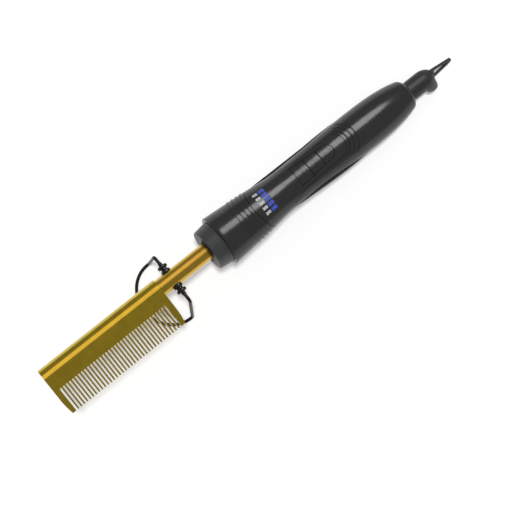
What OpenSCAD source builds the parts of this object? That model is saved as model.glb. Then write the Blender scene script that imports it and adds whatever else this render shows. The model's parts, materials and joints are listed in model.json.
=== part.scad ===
// Electric hot comb with a heated comb head, a fold-out wire stand and a swivelling tail.
// Pieces are drawn on the tool's own axis: x runs forward to the comb's tip, y to the teeth and
// z up to the buttons. A station is a distance behind the nose's front face, so x = -station.
// rest_pose() then tilts the tool as it stands on a table, on its stand and the handle's rear.

/* [Comb head] */
// Length of the comb along the tool
comb_len = 82.2; // [60:0.2:110]
// Radius of the round spine
spine_r = 6.2; // [6:0.1:8]
// Reach of the tooth tips from the tool's axis
comb_reach = 24.8; // [20:0.2:32]
// Half the thickness of a tooth at its tip
tooth_tip_half = 0.65; // [0.4:0.05:1]
// Number of slots between the teeth
slot_count = 36; // [20:1:42]
// Width of one slot
slot_w = 1.15; // [0.7:0.05:1.5]
// Distance of the closed slot ends from the tool's axis
slot_root = 10; // [7.5:0.1:12]
// Length of the solid end at the tip
front_end_len = 3.5; // [2:0.1:6]
// Length of the solid end at the stem
rear_end_len = 3.8; // [2:0.1:6]
// How far the two end teeth curve in at their tips
end_tooth_sweep = 1.2; // [0:0.1:2]

/* [Heater] */
// Radius of the bore through the spine
heater_bore_r = 4.2; // [3.8:0.1:4.6]
// Thickness of the ceramic heater plate
heater_t = 1.2; // [0.8:0.1:2]
// Width of the ceramic heater plate
heater_w = 7.2; // [5:0.2:7.4]
// Length of the heat spreaders
spreader_len = 62; // [40:1:66]
// Thickness of the plug that closes the spine
end_plug_t = 3; // [2:0.5:6]
// Radius of the temperature sensor
sensor_r = 0.7; // [0.5:0.1:1]
// Radius of a heater lead
heater_lead_r = 0.8; // [0.5:0.1:0.9]
// Radius of a sensor lead
sensor_lead_r = 0.3; // [0.2:0.05:0.4]

/* [Stem] */
// Free length of the stem between comb and nose
stem_free_len = 35.2; // [30:0.2:50]
// Outer radius of the stem tube
stem_r = 5.3; // [4.9:0.1:5.4]
// Wall of the stem tube
stem_wall = 1; // [0.5:0.1:1]
// Length of stem inside the comb
stem_in_comb = 8; // [5:0.5:12]
// Width of the retaining ring on the stem
stem_ring_w = 2; // [1:0.25:3]
// Radius of the retaining ring
stem_ring_r = 6.6; // [6.2:0.1:7]

/* [Stand] */
// Distance of the stand's pivot in front of the nose
pivot_ahead = 26; // [22:0.5:28]
// Radius of the stand wire
wire_r = 1; // [0.8:0.05:1.2]
// Half the width of the stand where its legs turn down
leg_top_half = 16.3; // [14:0.1:18]
// Half the width of the round foot
foot_r = 20.7; // [19:0.1:24]
// How far the round foot reaches ahead of its ends
foot_depth = 18.5; // [14:0.1:24]
// How far the legs lean forward
leg_lean = 4.4; // [0:0.2:6]
// Inner radius of the wire's bends, to its centre line
wire_bend_r = 2.6; // [2:0.1:4]
// Radius of a bush's two flanges
bush_flange_r = 3.1; // [2.8:0.1:3.6]
// Radius of a bush's neck
bush_neck_r = 1.95; // [1.8:0.05:2.4]
// Outer end of a bush, from the tool's axis
bush_end = 9.7; // [9:0.1:11]
// Swing of the stand from its stop to the folded place
stand_swing_deg = 83; // [60:1:84]

/* [Resting] */
// Tilt of the tool on its stand
rest_pitch = 6.5; // [5:0.25:9]

/* [Nose] */
// Visible length of the nose collar
nose_len = 8.8; // [6:0.2:12]
// Radius of the nose at its front face
nose_front_r = 12.7; // [11.5:0.1:13]
// Radius of the nose where it meets the sleeve
nose_rear_r = 13.9; // [13.2:0.1:14.6]
// Width of the black seal bar across the nose
seal_w = 10.8; // [10.6:0.1:12]
// Depth of the seal bar
seal_depth = 3.2; // [2:0.2:4.4]
// Rim of the nose round the seal bar's ends
seal_rim = 0.8; // [0.7:0.1:1.2]

/* [Handle] */
// Radius of the sleeve's front lip
lip_r = 16.2; // [15:0.1:18]
// Slope of the sleeve at its lip
lip_slope = -0.07; // [-0.1:0.01:0]
// Station of the slanted seam at the handle's mid height
seam_s = 40; // [39:0.5:42]
// Radius of the handle at the seam
seam_r = 13.65; // [13.2:0.05:14.2]
// Slope of the handle at the seam
seam_slope = -0.1; // [-0.14:0.01:-0.06]
// Slant of the seam from a square cut
seam_tilt = 24.4; // [18:0.2:26]
// Station of the waist
waist_s = 58; // [56:0.5:60]
// Radius of the waist
waist_r = 12.1; // [12:0.1:13]
// Station of the thickest part of the palm
palm_s = 107; // [100:1:112]
// Radius of the palm
palm_r = 13.5; // [13:0.1:15]
// Station where the end of the handle starts to round off
tail_s = 152.5; // [152:0.5:158]
// Radius of the handle there
tail_r = 10.2; // [9.4:0.1:10.4]
// Slope of the handle there
tail_slope = -0.26; // [-0.32:0.01:-0.2]
// Radius of the rounding at the handle's end
end_round = 4; // [3:0.1:4.5]
// Inner radius of the casing
cavity_r = 9.5; // [9.4:0.1:9.8]
// Number of slanted ribs round the sleeve
rib_count = 4; // [1:1:4]
// Station of the first rib at mid height
rib_first_s = 27.5; // [26:0.1:28]
// Distance between the ribs
rib_pitch = 3.07; // [2.4:0.01:3.2]
// Slant of the first rib
rib_tilt = 15; // [10:0.5:16]
// Slant added from rib to rib
rib_tilt_step = 1.3; // [0:0.1:1.6]
// Width of a rib
rib_w = 1; // [0.6:0.1:1.4]
// Height of a rib over the sleeve
rib_height = 0.4; // [0.2:0.05:0.6]
// Front end of a side grip
grip_front_s = 57; // [56:0.5:62]
// Rear end of a side grip
grip_rear_s = 112; // [100:0.5:112]
// Half the height of a side grip at its middle
grip_half_h = 3.4; // [3:0.1:5.4]
// Depth of the pocket that holds a grip
grip_depth = 1; // [0.6:0.1:1.2]
// How far a grip stands proud at its middle
grip_proud = 0.5; // [0:0.1:0.9]

/* [Controls] */
// Thickness of the control cover
cover_t = 1.3; // [1:0.1:1.4]
// Half the width of the cover beside the keypad
cover_half_w = 7.5; // [7.2:0.1:8]
// Station of the cover's rounded rear end
cover_end_s = 101.8; // [99:0.2:103]
// Length of the cover's rounded end
cover_arch_len = 6; // [4:0.2:8]
// Station where the cover is its flare wider than beside the keypad
cover_flare_s = 60; // [59:0.5:62]
// Extra half width at that station
cover_flare = 2.8; // [2:0.1:3.2]
// Length over which the flare dies away
cover_flare_len = 7.9; // [6:0.1:9]
// Station of the keypad's front edge
keypad_s = 66; // [65:0.5:68]
// Length of one button
button_len = 9.1; // [8:0.1:9.2]
// Gap between buttons
button_gap = 0.35; // [0.25:0.05:0.6]
// Half the width of the keypad's front edge
keypad_front_half = 6.25; // [5.6:0.05:6.4]
// Half the width of the keypad where its rear end rounds off
keypad_rear_half = 4.5; // [3.8:0.1:5]
// Travel of a button
button_travel = 0.6; // [0.3:0.05:0.8]
// Thickness of a button's cap and flange
button_t = 2.3; // [2.1:0.1:2.5]
// Overhang of the flange that keeps a button in
flange_over = 0.6; // [0.4:0.05:0.8]
// Radius of a switch plunger
plunger_r = 1.6; // [1.2:0.1:2]
// Station of the middle of the indicator windows
window_s = 44.3; // [44:0.1:46]
// Length of a window
window_len = 4.1; // [3:0.1:4.4]
// Width of a window
window_w = 2.2; // [1.6:0.1:2.6]
// Angle between windows
window_step = 14; // [12:0.5:15]
// Number of windows
window_count = 5; // [1:2:5]
// Number of ornamental grooves behind the cover
arc_count = 3; // [0:1:3]
// Gap from the cover's end to the first ornamental groove
arc_first_gap = 2.4; // [2:0.1:3]
// Distance between the ornamental grooves
arc_pitch = 2.9; // [2:0.1:3.2]
// Half the chord of the first ornamental groove
arc_half = 8.5; // [7:0.1:9]
// Extra half chord from groove to groove
arc_half_step = 1.15; // [0.8:0.05:1.4]

/* [Electronics] */
// Height of the board's underside over the tool's axis
board_z = 3.5; // [3.2:0.1:3.6]
// Thickness of the board
board_t = 1.6; // [1.2:0.1:1.6]
// Width of the board
board_w = 15; // [13.4:0.2:15.4]
// Station of the board's front end
board_front_s = 38; // [36:0.5:40]
// Station of the board's rear end
board_rear_s = 107; // [106.5:0.5:110]
// Side of a square switch housing
switch_side = 6; // [5:0.2:6]
// Height of a switch housing
switch_h = 3; // [2.6:0.1:3.1]
// Radius of the smoothing capacitor
capacitor_r = 4; // [3:0.1:4.2]
// Length of the smoothing capacitor
capacitor_len = 16; // [10:1:16]
// Radius of a supply lead
supply_lead_r = 0.8; // [0.5:0.1:1]
// Station of the two casing screws
shell_screw_s = 116; // [115:0.5:120]
// Half the distance between the casing screws
shell_screw_half = 6; // [5.6:0.1:6.2]

/* [Tail swivel] */
// Radius of the tail
swivel_r = 6.3; // [6:0.1:6.5]
// Length of the tail's straight part
swivel_len = 12; // [8:0.1:14]
// Length of the tail's domed end
dome_len = 8.6; // [7.6:0.1:10]
// Radius of the journal that turns in the handle
journal_r = 4.6; // [4.4:0.05:4.8]
// Length of the bearing bush
bush_len = 7.6; // [6:0.1:7.8]
// Outer radius of the bearing bush
swivel_bush_r = 6.2; // [6:0.05:6.4]
// Radius of the round cord outlet
outlet_r = 4.3; // [4.3:0.1:4.8]
// Distance of the outlet's round end from the tail's axis
outlet_reach = 5.6; // [4.6:0.1:5.6]
// Turn of the outlet from straight down towards the teeth
outlet_turn = 58; // [40:1:90]
// Radius of the cord that fits the outlet
cord_r = 2.75; // [2.3:0.05:2.9]
// Length of the hanging loop behind the dome's root
loop_len = 16.8; // [15:0.2:24]
// Half the height of the loop at its root
loop_root_half = 4.6; // [4.2:0.1:5]
// Half the height of the loop at its end
loop_end_half = 1.7; // [1.4:0.1:2.4]
// Thickness of the loop
loop_t = 1.9; // [1.8:0.1:3]
// Width of the loop's bars
loop_bar = 1.5; // [1.4:0.1:2]
// Turn of the loop from upright
loop_roll = 14; // [0:1:20]

/* [Fits] */
// Radial clearance of parts that turn or slide
running_gap = 0.05; // [0.03:0.01:0.09]
// Clearance between fixed pieces
fixed_gap = 0.05; // [0.02:0.01:0.08]
// Visible joint line between neighbouring covers
seam_gap = 0.15; // [0.1:0.01:0.25]

/* [Hidden] */
$fn = 64;
gold = "#9A7C22";
gold_dark = "#83691A";
black_plastic = "#2E2E2E";
grey_plastic = "#4A4B4C";
soft_black = "#202020";
wire_black = "#1A1A1A";
window_blue = "#4458B4";
copper = "#B87333";
brass = "#B8963E";
ceramic = "#E4DFD2";
steel = "#A8A9AD";
board_green = "#1F6B3A";
chip_black = "#161616";
nylon = "#D9D5C8";

// Length of a cut that runs past what it cuts
past = 60;
// A little more than nothing, so that cuts don't end flush with a face
over = 0.5;

// Comb head
comb_rear_s = -stem_free_len;
comb_tip_s = comb_rear_s - comb_len;
slot_pitch = (comb_len - front_end_len - rear_end_len - slot_w) / (slot_count - 1);
// Angle at which a blade flank leaves the round spine
flank_turn = asin(spine_r / norm([comb_reach, tooth_tip_half])) - atan(tooth_tip_half / comb_reach);
spine_steps = 40;
sweep_steps = 6;
sweep_start = slot_root + (comb_reach - slot_root) / 3;

// Heater
plug_rear_s = comb_tip_s + end_plug_t;
spreader_front_s = plug_rear_s + 2;
spreader_rear_s = spreader_front_s + spreader_len;
heater_rear_s = spreader_rear_s + 3;
sensor_len = 5;
sensor_z = heater_bore_r / 2 + 0.3;
heater_lead_y = heater_w / 2 - heater_lead_r - 0.6;
sensor_lead_y = sensor_lead_r + 0.1;

// Stem and its clamp
stem_bore_r = stem_r - stem_wall;
spigot_end_s = nose_len + 11;
clamp_front_s = spigot_end_s + 0.2;
clamp_len = 13;
clamp_rear_s = clamp_front_s + clamp_len;
stem_rear_s = clamp_rear_s + 1;
stem_ring_s = clamp_front_s + 5;
clamp_r = cavity_r - 2 * fixed_gap;
clamp_screw_y = (stem_r + clamp_r) / 2;
clamp_screw_r = 0.8;
clamp_head_r = 1.4;
clamp_head_h = 1.2;
clamp_screw_top = sqrt(clamp_r * clamp_r - (clamp_screw_y + clamp_head_r) ^ 2) - 0.2;

// Stand
bush_base_top = stem_r + 1.2;
bush_neck_top = bush_base_top + 1.4;
bush_shank_in = stem_bore_r - 0.8;
stop_peg_r = 0.45;
stop_peg_out = bush_flange_r - 0.8;
stop_pocket_depth = 1.1;
wire_collar_r = wire_r + 0.3;
wire_collar_w = 1.6;
wire_collar_gap = 0.3;
wire_sides = 12;
wire_arc_steps = 6;
foot_steps = 30;

// Handle
lip_s = nose_len + 0.1;
lip_round = 0.7;
spigot_r = nose_rear_r - 1.95;
sleeve_bore_r = spigot_r + fixed_gap;
skin_step = 4.2;
SKIN = [
    [lip_s, lip_r, lip_slope], [seam_s, seam_r, seam_slope], [waist_s, waist_r, 0],
    [palm_s, palm_r, 0], [tail_s, tail_r, tail_slope]
];
tail_lean = atan(-tail_slope);
end_centre_s = tail_s - end_round * sin(tail_lean);
end_centre_r = tail_r - end_round * cos(tail_lean);
end_rim_r = swivel_r + 0.3;
end_turn = asin((end_rim_r - end_centre_r) / end_round);
handle_end_s = end_centre_s + end_round * cos(end_turn);
end_steps = 6;
split_gap = 0.03;
grip_steps = 14;

// Controls
cover_steps = 12;
keypad_len = 3 * button_len;
keypad_end_s = keypad_s + keypad_len;
keypad_arch_len = 4.3;
board_top = board_z + board_t;
switch_top = board_top + switch_h;
window_plate_t = 0.8;
window_gap = 0.1;
// Width of the light pipes that lead from the windows down through the casing
light_pipe_w = window_w - 0.8;
led_w = 1.6;
led_len = 2;
led_h = 0.9;
arc_sagitta = 4.7;
arc_w = 0.8;
arc_depth = 0.4;

// Electronics
terminal_len = 7;
terminal_half_w = 5;
terminal_bottom = -1.8;
front_terminal_s = board_front_s;
rear_terminal_s = board_rear_s - terminal_len;
triac_s = front_terminal_s + terminal_len + 3;
triac_len = 9;
board_post_s = [keypad_s - 5.5, keypad_end_s + 2.7];
board_post_y = 4.5;
board_post_r = 2;
board_screw_r = 0.9;
board_head_r = 1.8;
board_head_h = 1.2;
capacitor_s = board_post_s[0] + board_post_r + 1.5;
fuse_r = 1.6;
fuse_len = 10;
fuse_s = capacitor_s + capacitor_len + 2;
chip_len = 5;
chip_w = 6;
chip_h = 1.1;
chip_s = (window_s + window_len / 2 + board_post_s[0] - chip_len) / 2;
supply_lead_y = 2.2;
supply_lead_z = 1;
shell_boss_r = 2.5;
shell_screw_r = 1.1;
shell_head_r = 2.1;
shell_head_h = 1.6;
shell_head_top = -6.2;
shell_screw_end = 5;

// Tail swivel
swivel_s = handle_end_s + 0.25;
dome_s = swivel_s + swivel_len;
bush_rear_s = handle_end_s - 2;
bush_front_s = bush_rear_s - bush_len;
bearing_wall_s = bush_front_s + 0.4;
retainer_w = 2;
retainer_rear_s = bush_front_s - 0.4;
retainer_front_s = retainer_rear_s - retainer_w;
retainer_r = swivel_bush_r + 0.7;
journal_end_s = retainer_front_s - 0.8;
ring_seat_r = journal_r - 1;
ring_seat_len = 9.6;
ring_seat_end_s = journal_end_s - ring_seat_len;
slip_ring_r = journal_r - 0.3;
slip_ring_w = 2.5;
slip_ring_s = [ring_seat_end_s + 1, ring_seat_end_s + 5];
wire_way_r = 2.4;
dome_steps = 10;
outlet_s = dome_s + 3.7;
grommet_wall = 0.7;
grommet_r = cord_r + fixed_gap + grommet_wall;
grommet_in = outlet_reach + 0.3;
grommet_out = outlet_reach + sqrt(outlet_r ^ 2 - grommet_r ^ 2) + 0.2;
loop_s = outlet_s + wire_way_r + 0.5;
loop_end_s = loop_s + loop_len;
loop_root_len = 1.4;
loop_steps = 8;
taper_s = shell_screw_s + shell_boss_r + 9;
taper_r = cavity_r - 1.1;
block_lead = 8;
block_front_s = ring_seat_end_s - block_lead;
block_mid_s = ring_seat_end_s - 1;
block_rear_s = slip_ring_s[1] + slip_ring_w + 0.5;
block_half_w = 4.6;
block_top = 3;
block_step_z = -slip_ring_r - 1;
brush_r = 1.1;
brush_depth = 1.6;

// Place of the tool as it stands on a table
pivot_s = -pivot_ahead;
rest_h = max([for (p = skin(palm_s, tail_s)) p[0] * sin(rest_pitch) + p[1] * cos(rest_pitch)]);
pivot_h = rest_h + pivot_ahead * sin(rest_pitch);
leg_drop = pivot_h - wire_r;
rest_x = (loop_end_s + comb_tip_s) / 2 * cos(rest_pitch) - spine_r * sin(rest_pitch) / 2;
rest_y = (foot_r + wire_r - comb_reach) / 2;

// Outer radius of the handle at a station, smooth through the knots of SKIN
function hermite(a, b, s) =
    let (l = b[0] - a[0], t = (s - a[0]) / l)
    (2 * t ^ 3 - 3 * t ^ 2 + 1) * a[1] + (t ^ 3 - 2 * t ^ 2 + t) * l * a[2]
    + (3 * t ^ 2 - 2 * t ^ 3) * b[1] + (t ^ 3 - t ^ 2) * l * b[2];
function skin_r(s, i = 0) =
    i == len(SKIN) - 2 || s <= SKIN[i + 1][0] ? hermite(SKIN[i], SKIN[i + 1], s) : skin_r(s, i + 1);
function skin(s0, s1, off = 0) =
    let (n = max(1, ceil((s1 - s0) / skin_step)))
    [for (i = [0:n]) let (s = s0 + (s1 - s0) * i / n) [s, skin_r(s) + off]];
function end_arc() =
    [for (i = [1:end_steps]) let (a = 90 - tail_lean + (end_turn - 90 + tail_lean) * i / end_steps)
        [end_centre_s + end_round * cos(a), end_centre_r + end_round * sin(a)]];
function reversed(v) = [for (i = [len(v) - 1:-1:0]) v[i]];
function unit(v) = v / norm(v);
// Both sides of an outline whose half widths are given as [station, half width]
function both_sides(v) =
    concat([for (p = v) [-p[0], p[1]]], [for (p = reversed(v)) [-p[0], -p[1]]]);
function even(a, b, n) = [for (i = [0:n]) a + (b - a) * i / n];

// Half the cover's width at a station
function cover_half(s) = cover_half_w + cover_flare * exp((cover_flare_s - s) / cover_flare_len);
function arch(s, half, length, n) =
    [for (i = [0:n]) [s + length * sin(90 * i / n), half * cos(90 * i / n)]];
function keypad_half(s) =
    keypad_front_half + (keypad_rear_half - keypad_front_half) * (s - keypad_s)
    / (keypad_len - keypad_arch_len);

// Tool placing and simple solids laid along the tool
module rest_pose() {
    translate([rest_x, rest_y, rest_h]) rotate([0, -rest_pitch, 0]) children();
}

module turned(points) {
    rotate([0, 90, 0]) rotate_extrude() polygon([for (p = points) [p[1], -p[0]]]);
}

module rod(s0, s1, r, y = 0, z = 0) {
    translate([-s0, y, z]) rotate([0, -90, 0]) cylinder(h = s1 - s0, r = r);
}

module tube(s0, s1, r_out, r_in) {
    difference() {
        rod(s0, s1, r_out);
        rod(s0 - over, s1 + over, r_in);
    }
}

module post(s, y, z0, z1, r) {
    translate([-s, y, z0]) cylinder(h = z1 - z0, r = r);
}

module block(s0, s1, y0, y1, z0, z1) {
    translate([-s1, y0, z0]) cube([s1 - s0, y1 - y0, z1 - z0]);
}

module upper_half(gap = split_gap) {
    intersection() {
        children();
        block(-past, 4 * past, -past, past, gap, past);
    }
}

module lower_half(gap = split_gap) {
    intersection() {
        children();
        block(-past, 4 * past, -past, past, -past, -gap);
    }
}

// Layer under the handle's surface, between two depths
module skin_layer(s0, s1, top, bottom) {
    turned(concat(skin(s0, s1, top), reversed(skin(s0, s1, bottom))));
}

// All that lies on one side of the slanted seam, and half the joint line
module ahead_of_seam() {
    translate([-seam_s, 0, 0]) rotate([0, seam_tilt, 0])
        translate([-seam_gap / 2, -past, -past]) cube(2 * past);
}

module behind_seam() {
    translate([-seam_s, 0, 0]) rotate([0, seam_tilt, 0])
        translate([seam_gap / 2 - 2 * past, -past, -past]) cube(2 * past);
}

// Comb head
function spine_arc() =
    [for (i = [0:spine_steps]) let (a = flank_turn - (180 + 2 * flank_turn) * i / spine_steps)
        [spine_r * sin(a), spine_r * cos(a)]];

module end_sweep(s, way) {
    translate([-s, 0, -past]) linear_extrude(2 * past) polygon(concat(
        [for (t = even(0, 1, sweep_steps))
            [-way * end_tooth_sweep * t * t, sweep_start + (comb_reach + over - sweep_start) * t]],
        [[way * past, comb_reach + over], [way * past, sweep_start]]
    ));
}

module comb_blade() {
    color(gold) rest_pose() difference() {
        translate([-comb_rear_s, 0, 0]) rotate([90, 0, 90]) linear_extrude(comb_len)
            polygon(concat(
                [[comb_reach, tooth_tip_half]], spine_arc(), [[comb_reach, -tooth_tip_half]]
            ));
        rod(comb_tip_s - over, comb_rear_s + over, heater_bore_r);
        rod(comb_rear_s - stem_in_comb, comb_rear_s + over, stem_r + fixed_gap);
        for (i = [0:slot_count - 1])
            let (s = comb_tip_s + front_end_len + i * slot_pitch)
            block(s, s + slot_w, slot_root, comb_reach + over, -spine_r, spine_r);
        end_sweep(comb_tip_s, 1);
        end_sweep(comb_rear_s, -1);
    }
}

module spine_end_plug() {
    color(gold_dark) rest_pose()
        rod(comb_tip_s + 0.3, plug_rear_s, heater_bore_r - fixed_gap);
}

// Heater
module spreader() {
    difference() {
        rod(spreader_front_s, spreader_rear_s, heater_bore_r - fixed_gap);
        block(spreader_front_s - over, spreader_rear_s + over, -past, past, -past,
            heater_t / 2 + fixed_gap);
    }
}

module heat_spreader_upper() {
    color(steel) rest_pose() difference() {
        spreader();
        rod(spreader_rear_s - sensor_len - 1, spreader_rear_s + over, sensor_r + fixed_gap,
            z = sensor_z);
    }
}

module heat_spreader_lower() {
    color(steel) rest_pose() rotate([180, 0, 0]) spreader();
}

module heater_plate() {
    color(ceramic) rest_pose()
        block(spreader_front_s, heater_rear_s, -heater_w / 2, heater_w / 2,
            -heater_t / 2, heater_t / 2);
}

module temperature_sensor() {
    color(nylon) rest_pose()
        rod(spreader_rear_s - sensor_len, spreader_rear_s, sensor_r, z = sensor_z);
}

module heater_leads() {
    color(nylon) rest_pose() for (side = [-1, 1])
        rod(heater_rear_s, front_terminal_s, heater_lead_r, y = side * heater_lead_y);
}

module sensor_leads() {
    color(steel) rest_pose() for (side = [-1, 1])
        rod(spreader_rear_s, front_terminal_s, sensor_lead_r, y = side * sensor_lead_y,
            z = sensor_z);
}

// Stem
module stem_tube() {
    color(gold_dark) rest_pose() difference() {
        tube(comb_rear_s - stem_in_comb, stem_rear_s, stem_r, stem_bore_r);
        translate([-pivot_s, -past, 0]) rotate([-90, 0, 0])
            cylinder(h = 2 * past, r = bush_neck_r + fixed_gap);
    }
}

module stem_ring() {
    color(steel) rest_pose()
        tube(stem_ring_s, stem_ring_s + stem_ring_w, stem_ring_r, stem_r + fixed_gap);
}

// Stand: a bush on each side of the stem, and the wire that turns in them
module on_pivot(side) {
    translate([-pivot_s, 0, 0]) mirror([0, side > 0 ? 0 : 1, 0]) rotate([-90, 0, 0]) children();
}

module pivot_bush(side) {
    color(wire_black) rest_pose() difference() {
        on_pivot(side) rotate_extrude() polygon([
            [wire_r + running_gap, bush_shank_in], [bush_neck_r, bush_shank_in],
            [bush_neck_r, stem_r - stem_wall], [bush_flange_r - 0.2, stem_r - stem_wall],
            [bush_flange_r - 0.2, bush_base_top - 0.3], [bush_flange_r - 0.5, bush_base_top],
            [bush_neck_r, bush_base_top], [bush_neck_r, bush_neck_top],
            [bush_flange_r - 0.5, bush_neck_top], [bush_flange_r, bush_neck_top + 0.5],
            [bush_flange_r, bush_end - 0.5], [bush_flange_r - 0.5, bush_end],
            [wire_r + running_gap, bush_end]
        ]);
        difference() {
            rod(pivot_s - past / 2, pivot_s + past / 2, stem_r + fixed_gap);
            on_pivot(side) cylinder(h = past, r = bush_neck_r);
        }
        on_pivot(side) stop_pocket();
    }
}

// Pocket in a bush's outer end, in which the wire's peg turns from stop to stop
module stop_pocket() {
    room = asin((stop_peg_r + running_gap) / wire_r);
    translate([0, 0, bush_end - stop_pocket_depth]) rotate([0, 0, rest_pitch - room])
        rotate_extrude(angle = stand_swing_deg + 2 * room)
        square([stop_peg_out + running_gap, stop_pocket_depth + over]);
}

module pivot_bush_left() { pivot_bush(-1); }

module pivot_bush_right() { pivot_bush(1); }

// Points of an arc that rounds the corner b between a and c
function corner(a, b, c, r) =
    let (u = unit(a - b), v = unit(c - b), turn = acos(u * v), cut = r / tan(turn / 2),
        mid = unit(u + v), centre = b + mid * r / sin(turn / 2),
        p = b + u * cut - centre, q = b + v * cut - centre, sweep = 180 - turn)
    [for (i = [0:wire_arc_steps]) let (w = i / wire_arc_steps)
        centre + (p * sin((1 - w) * sweep) + q * sin(w * sweep)) / sin(sweep)];

// Centre line of one side of the stand from its pivot to its foot, in the table's directions
leg_top = [0, leg_top_half, 0];
leg_foot = [leg_lean, foot_r, -leg_drop];
wire_start = [0, bush_end + wire_collar_gap + wire_collar_w / 2, 0];
foot_first = [leg_lean + wire_bend_r, foot_r, -leg_drop];
function leg() =
    concat([wire_start], corner(wire_start, leg_top, leg_foot, wire_bend_r),
        corner(leg_top, leg_foot, foot_first, wire_bend_r / 2));
function foot() =
    [for (i = [1:foot_steps - 1]) let (a = 90 - 180 * i / foot_steps)
        [leg_lean + wire_bend_r / 2 + foot_depth * cos(a), foot_r * sin(a), -leg_drop]];
function stand_line() =
    concat(leg(), foot(), [for (p = reversed(leg())) [p[0], -p[1], p[2]]]);

// A round wire swept along its centre line
function tangents(v) =
    [for (i = [0:len(v) - 1]) unit(v[min(i + 1, len(v) - 1)] - v[max(i - 1, 0)])];
function sides(t, i, n) =
    let (m = unit(n - (n * t[i]) * t[i])) i == len(t) - 1 ? [m] : concat([m], sides(t, i + 1, m));

module swept_wire(line, r) {
    t = tangents(line);
    n = sides(t, 0, [0, 0, 1]);
    last = len(line) - 1;
    points = [for (i = [0:last]) for (k = [0:wire_sides - 1]) let (a = 360 * k / wire_sides)
        line[i] + r * (cos(a) * n[i] + sin(a) * cross(t[i], n[i]))];
    tubes = [for (i = [0:last - 1]) for (k = [0:wire_sides - 1])
        let (m = (k + 1) % wire_sides, p = i * wire_sides)
        [p + k, p + wire_sides + k, p + wire_sides + m, p + m]];
    caps = [
        [for (k = [0:wire_sides - 1]) k],
        [for (k = [wire_sides - 1:-1:0]) last * wire_sides + k]
    ];
    polyhedron(points, concat(tubes, caps), convexity = 6);
}

module stand_wire() {
    color(wire_black) rest_pose() translate([-pivot_s, 0, 0]) rotate([0, rest_pitch, 0]) {
        swept_wire(stand_line(), wire_r);
        for (side = [-90, 90]) rotate([side, 0, 0]) {
            translate([0, 0, bush_shank_in])
                cylinder(h = wire_start[1] - over - bush_shank_in, r = wire_r);
            translate([0, 0, bush_end + wire_collar_gap])
                cylinder(h = wire_collar_w, r = wire_collar_r);
            translate([0, 0, bush_end - stop_peg_r - running_gap]) rotate([0, 90, 0])
                cylinder(h = stop_peg_out, r = stop_peg_r);
        }
    }
}

// Nose
module nose_solid() {
    turned([
        [0, 0], [0, nose_front_r - 0.6], [0.6, nose_front_r + 0.1], [nose_len, nose_rear_r],
        [nose_len, spigot_r], [spigot_end_s, spigot_r], [spigot_end_s, 0]
    ]);
}

// Bar across the nose's front, rounded at both ends
module seal_bar(gap) {
    intersection() {
        block(-over, seal_depth - gap, gap - seal_w / 2, seal_w / 2 - gap, -past, past);
        rod(-past, past, nose_front_r - seal_rim - gap);
    }
}

module nose_collar() {
    color(grey_plastic) rest_pose() difference() {
        nose_solid();
        seal_bar(0);
        rod(-over, past, stem_r + 0.4);
        rod(seal_depth + 2.5, past, cavity_r + 0.2);
    }
}

module stem_seal() {
    color(soft_black) rest_pose() difference() {
        intersection() {
            nose_solid();
            seal_bar(fixed_gap);
        }
        rod(-over, past, stem_r + fixed_gap);
    }
}

// Barrel
module front_sleeve() {
    rim = skin_r(lip_s + lip_round);
    color(black_plastic) rest_pose() difference() {
        union() {
            turned(concat(
                [[lip_s, sleeve_bore_r], [lip_s, rim - lip_round]],
                [for (a = [60, 30])
                    [lip_s + lip_round * (1 - sin(a)), rim - lip_round * (1 - cos(a))]],
                skin(lip_s + lip_round, seam_s + 8),
                [[seam_s + 8, sleeve_bore_r]]
            ));
            for (i = [0:rib_count - 1]) slanted_rib(i);
        }
        behind_seam();
    }
}

module slanted_rib(i) {
    s = rib_first_s + i * rib_pitch;
    intersection() {
        skin_layer(lip_s + lip_round, seam_s + 8, rib_height, -over);
        translate([-s, 0, 0]) rotate([0, rib_tilt + i * rib_tilt_step, 0])
            translate([-rib_w / 2, -past, -past]) cube([rib_w, 2 * past, 2 * past]);
    }
}

module stem_clamp() {
    difference() {
        rod(clamp_front_s, clamp_rear_s, clamp_r);
        rod(clamp_front_s - over, clamp_rear_s + over, stem_r + fixed_gap);
        rod(stem_ring_s - fixed_gap, stem_ring_s + stem_ring_w + fixed_gap, stem_ring_r + fixed_gap);
        for (side = [-1, 1]) {
            post(clamp_screw_s(), side * clamp_screw_y, -clamp_screw_top, past,
                clamp_screw_r + fixed_gap);
            post(clamp_screw_s(), side * clamp_screw_y, clamp_screw_top - clamp_head_h, past,
                clamp_head_r + fixed_gap);
        }
    }
}

function clamp_screw_s() = (stem_ring_s + stem_ring_w + clamp_rear_s) / 2;

module stem_clamp_upper() {
    color(nylon) rest_pose() upper_half(0.1) stem_clamp();
}

module stem_clamp_lower() {
    color(nylon) rest_pose() lower_half(0.1) stem_clamp();
}

module clamp_screws() {
    color(steel) rest_pose() for (side = [-1, 1]) {
        post(clamp_screw_s(), side * clamp_screw_y, 0.2 - clamp_screw_top,
            clamp_screw_top - clamp_head_h, clamp_screw_r);
        post(clamp_screw_s(), side * clamp_screw_y, clamp_screw_top - clamp_head_h + fixed_gap / 2,
            clamp_screw_top, clamp_head_r);
    }
}

// Casing
module casing() {
    difference() {
        union() {
            tube(clamp_front_s, waist_s, spigot_r - fixed_gap, cavity_r);
            difference() {
                turned(concat(
                    [[seam_s - 8, cavity_r]], skin(seam_s - 8, tail_s), end_arc(),
                    [
                        [handle_end_s, journal_r + 0.3], [bush_rear_s, journal_r + 0.3],
                        [bush_rear_s, swivel_bush_r + fixed_gap],
                        [bearing_wall_s, swivel_bush_r + fixed_gap],
                        [bearing_wall_s, taper_r], [taper_s, cavity_r]
                    ]
                ));
                ahead_of_seam();
            }
        }
        for (side = [-1, 1]) grip_shape(side, fixed_gap, over, -grip_depth - fixed_gap);
    }
}

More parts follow.
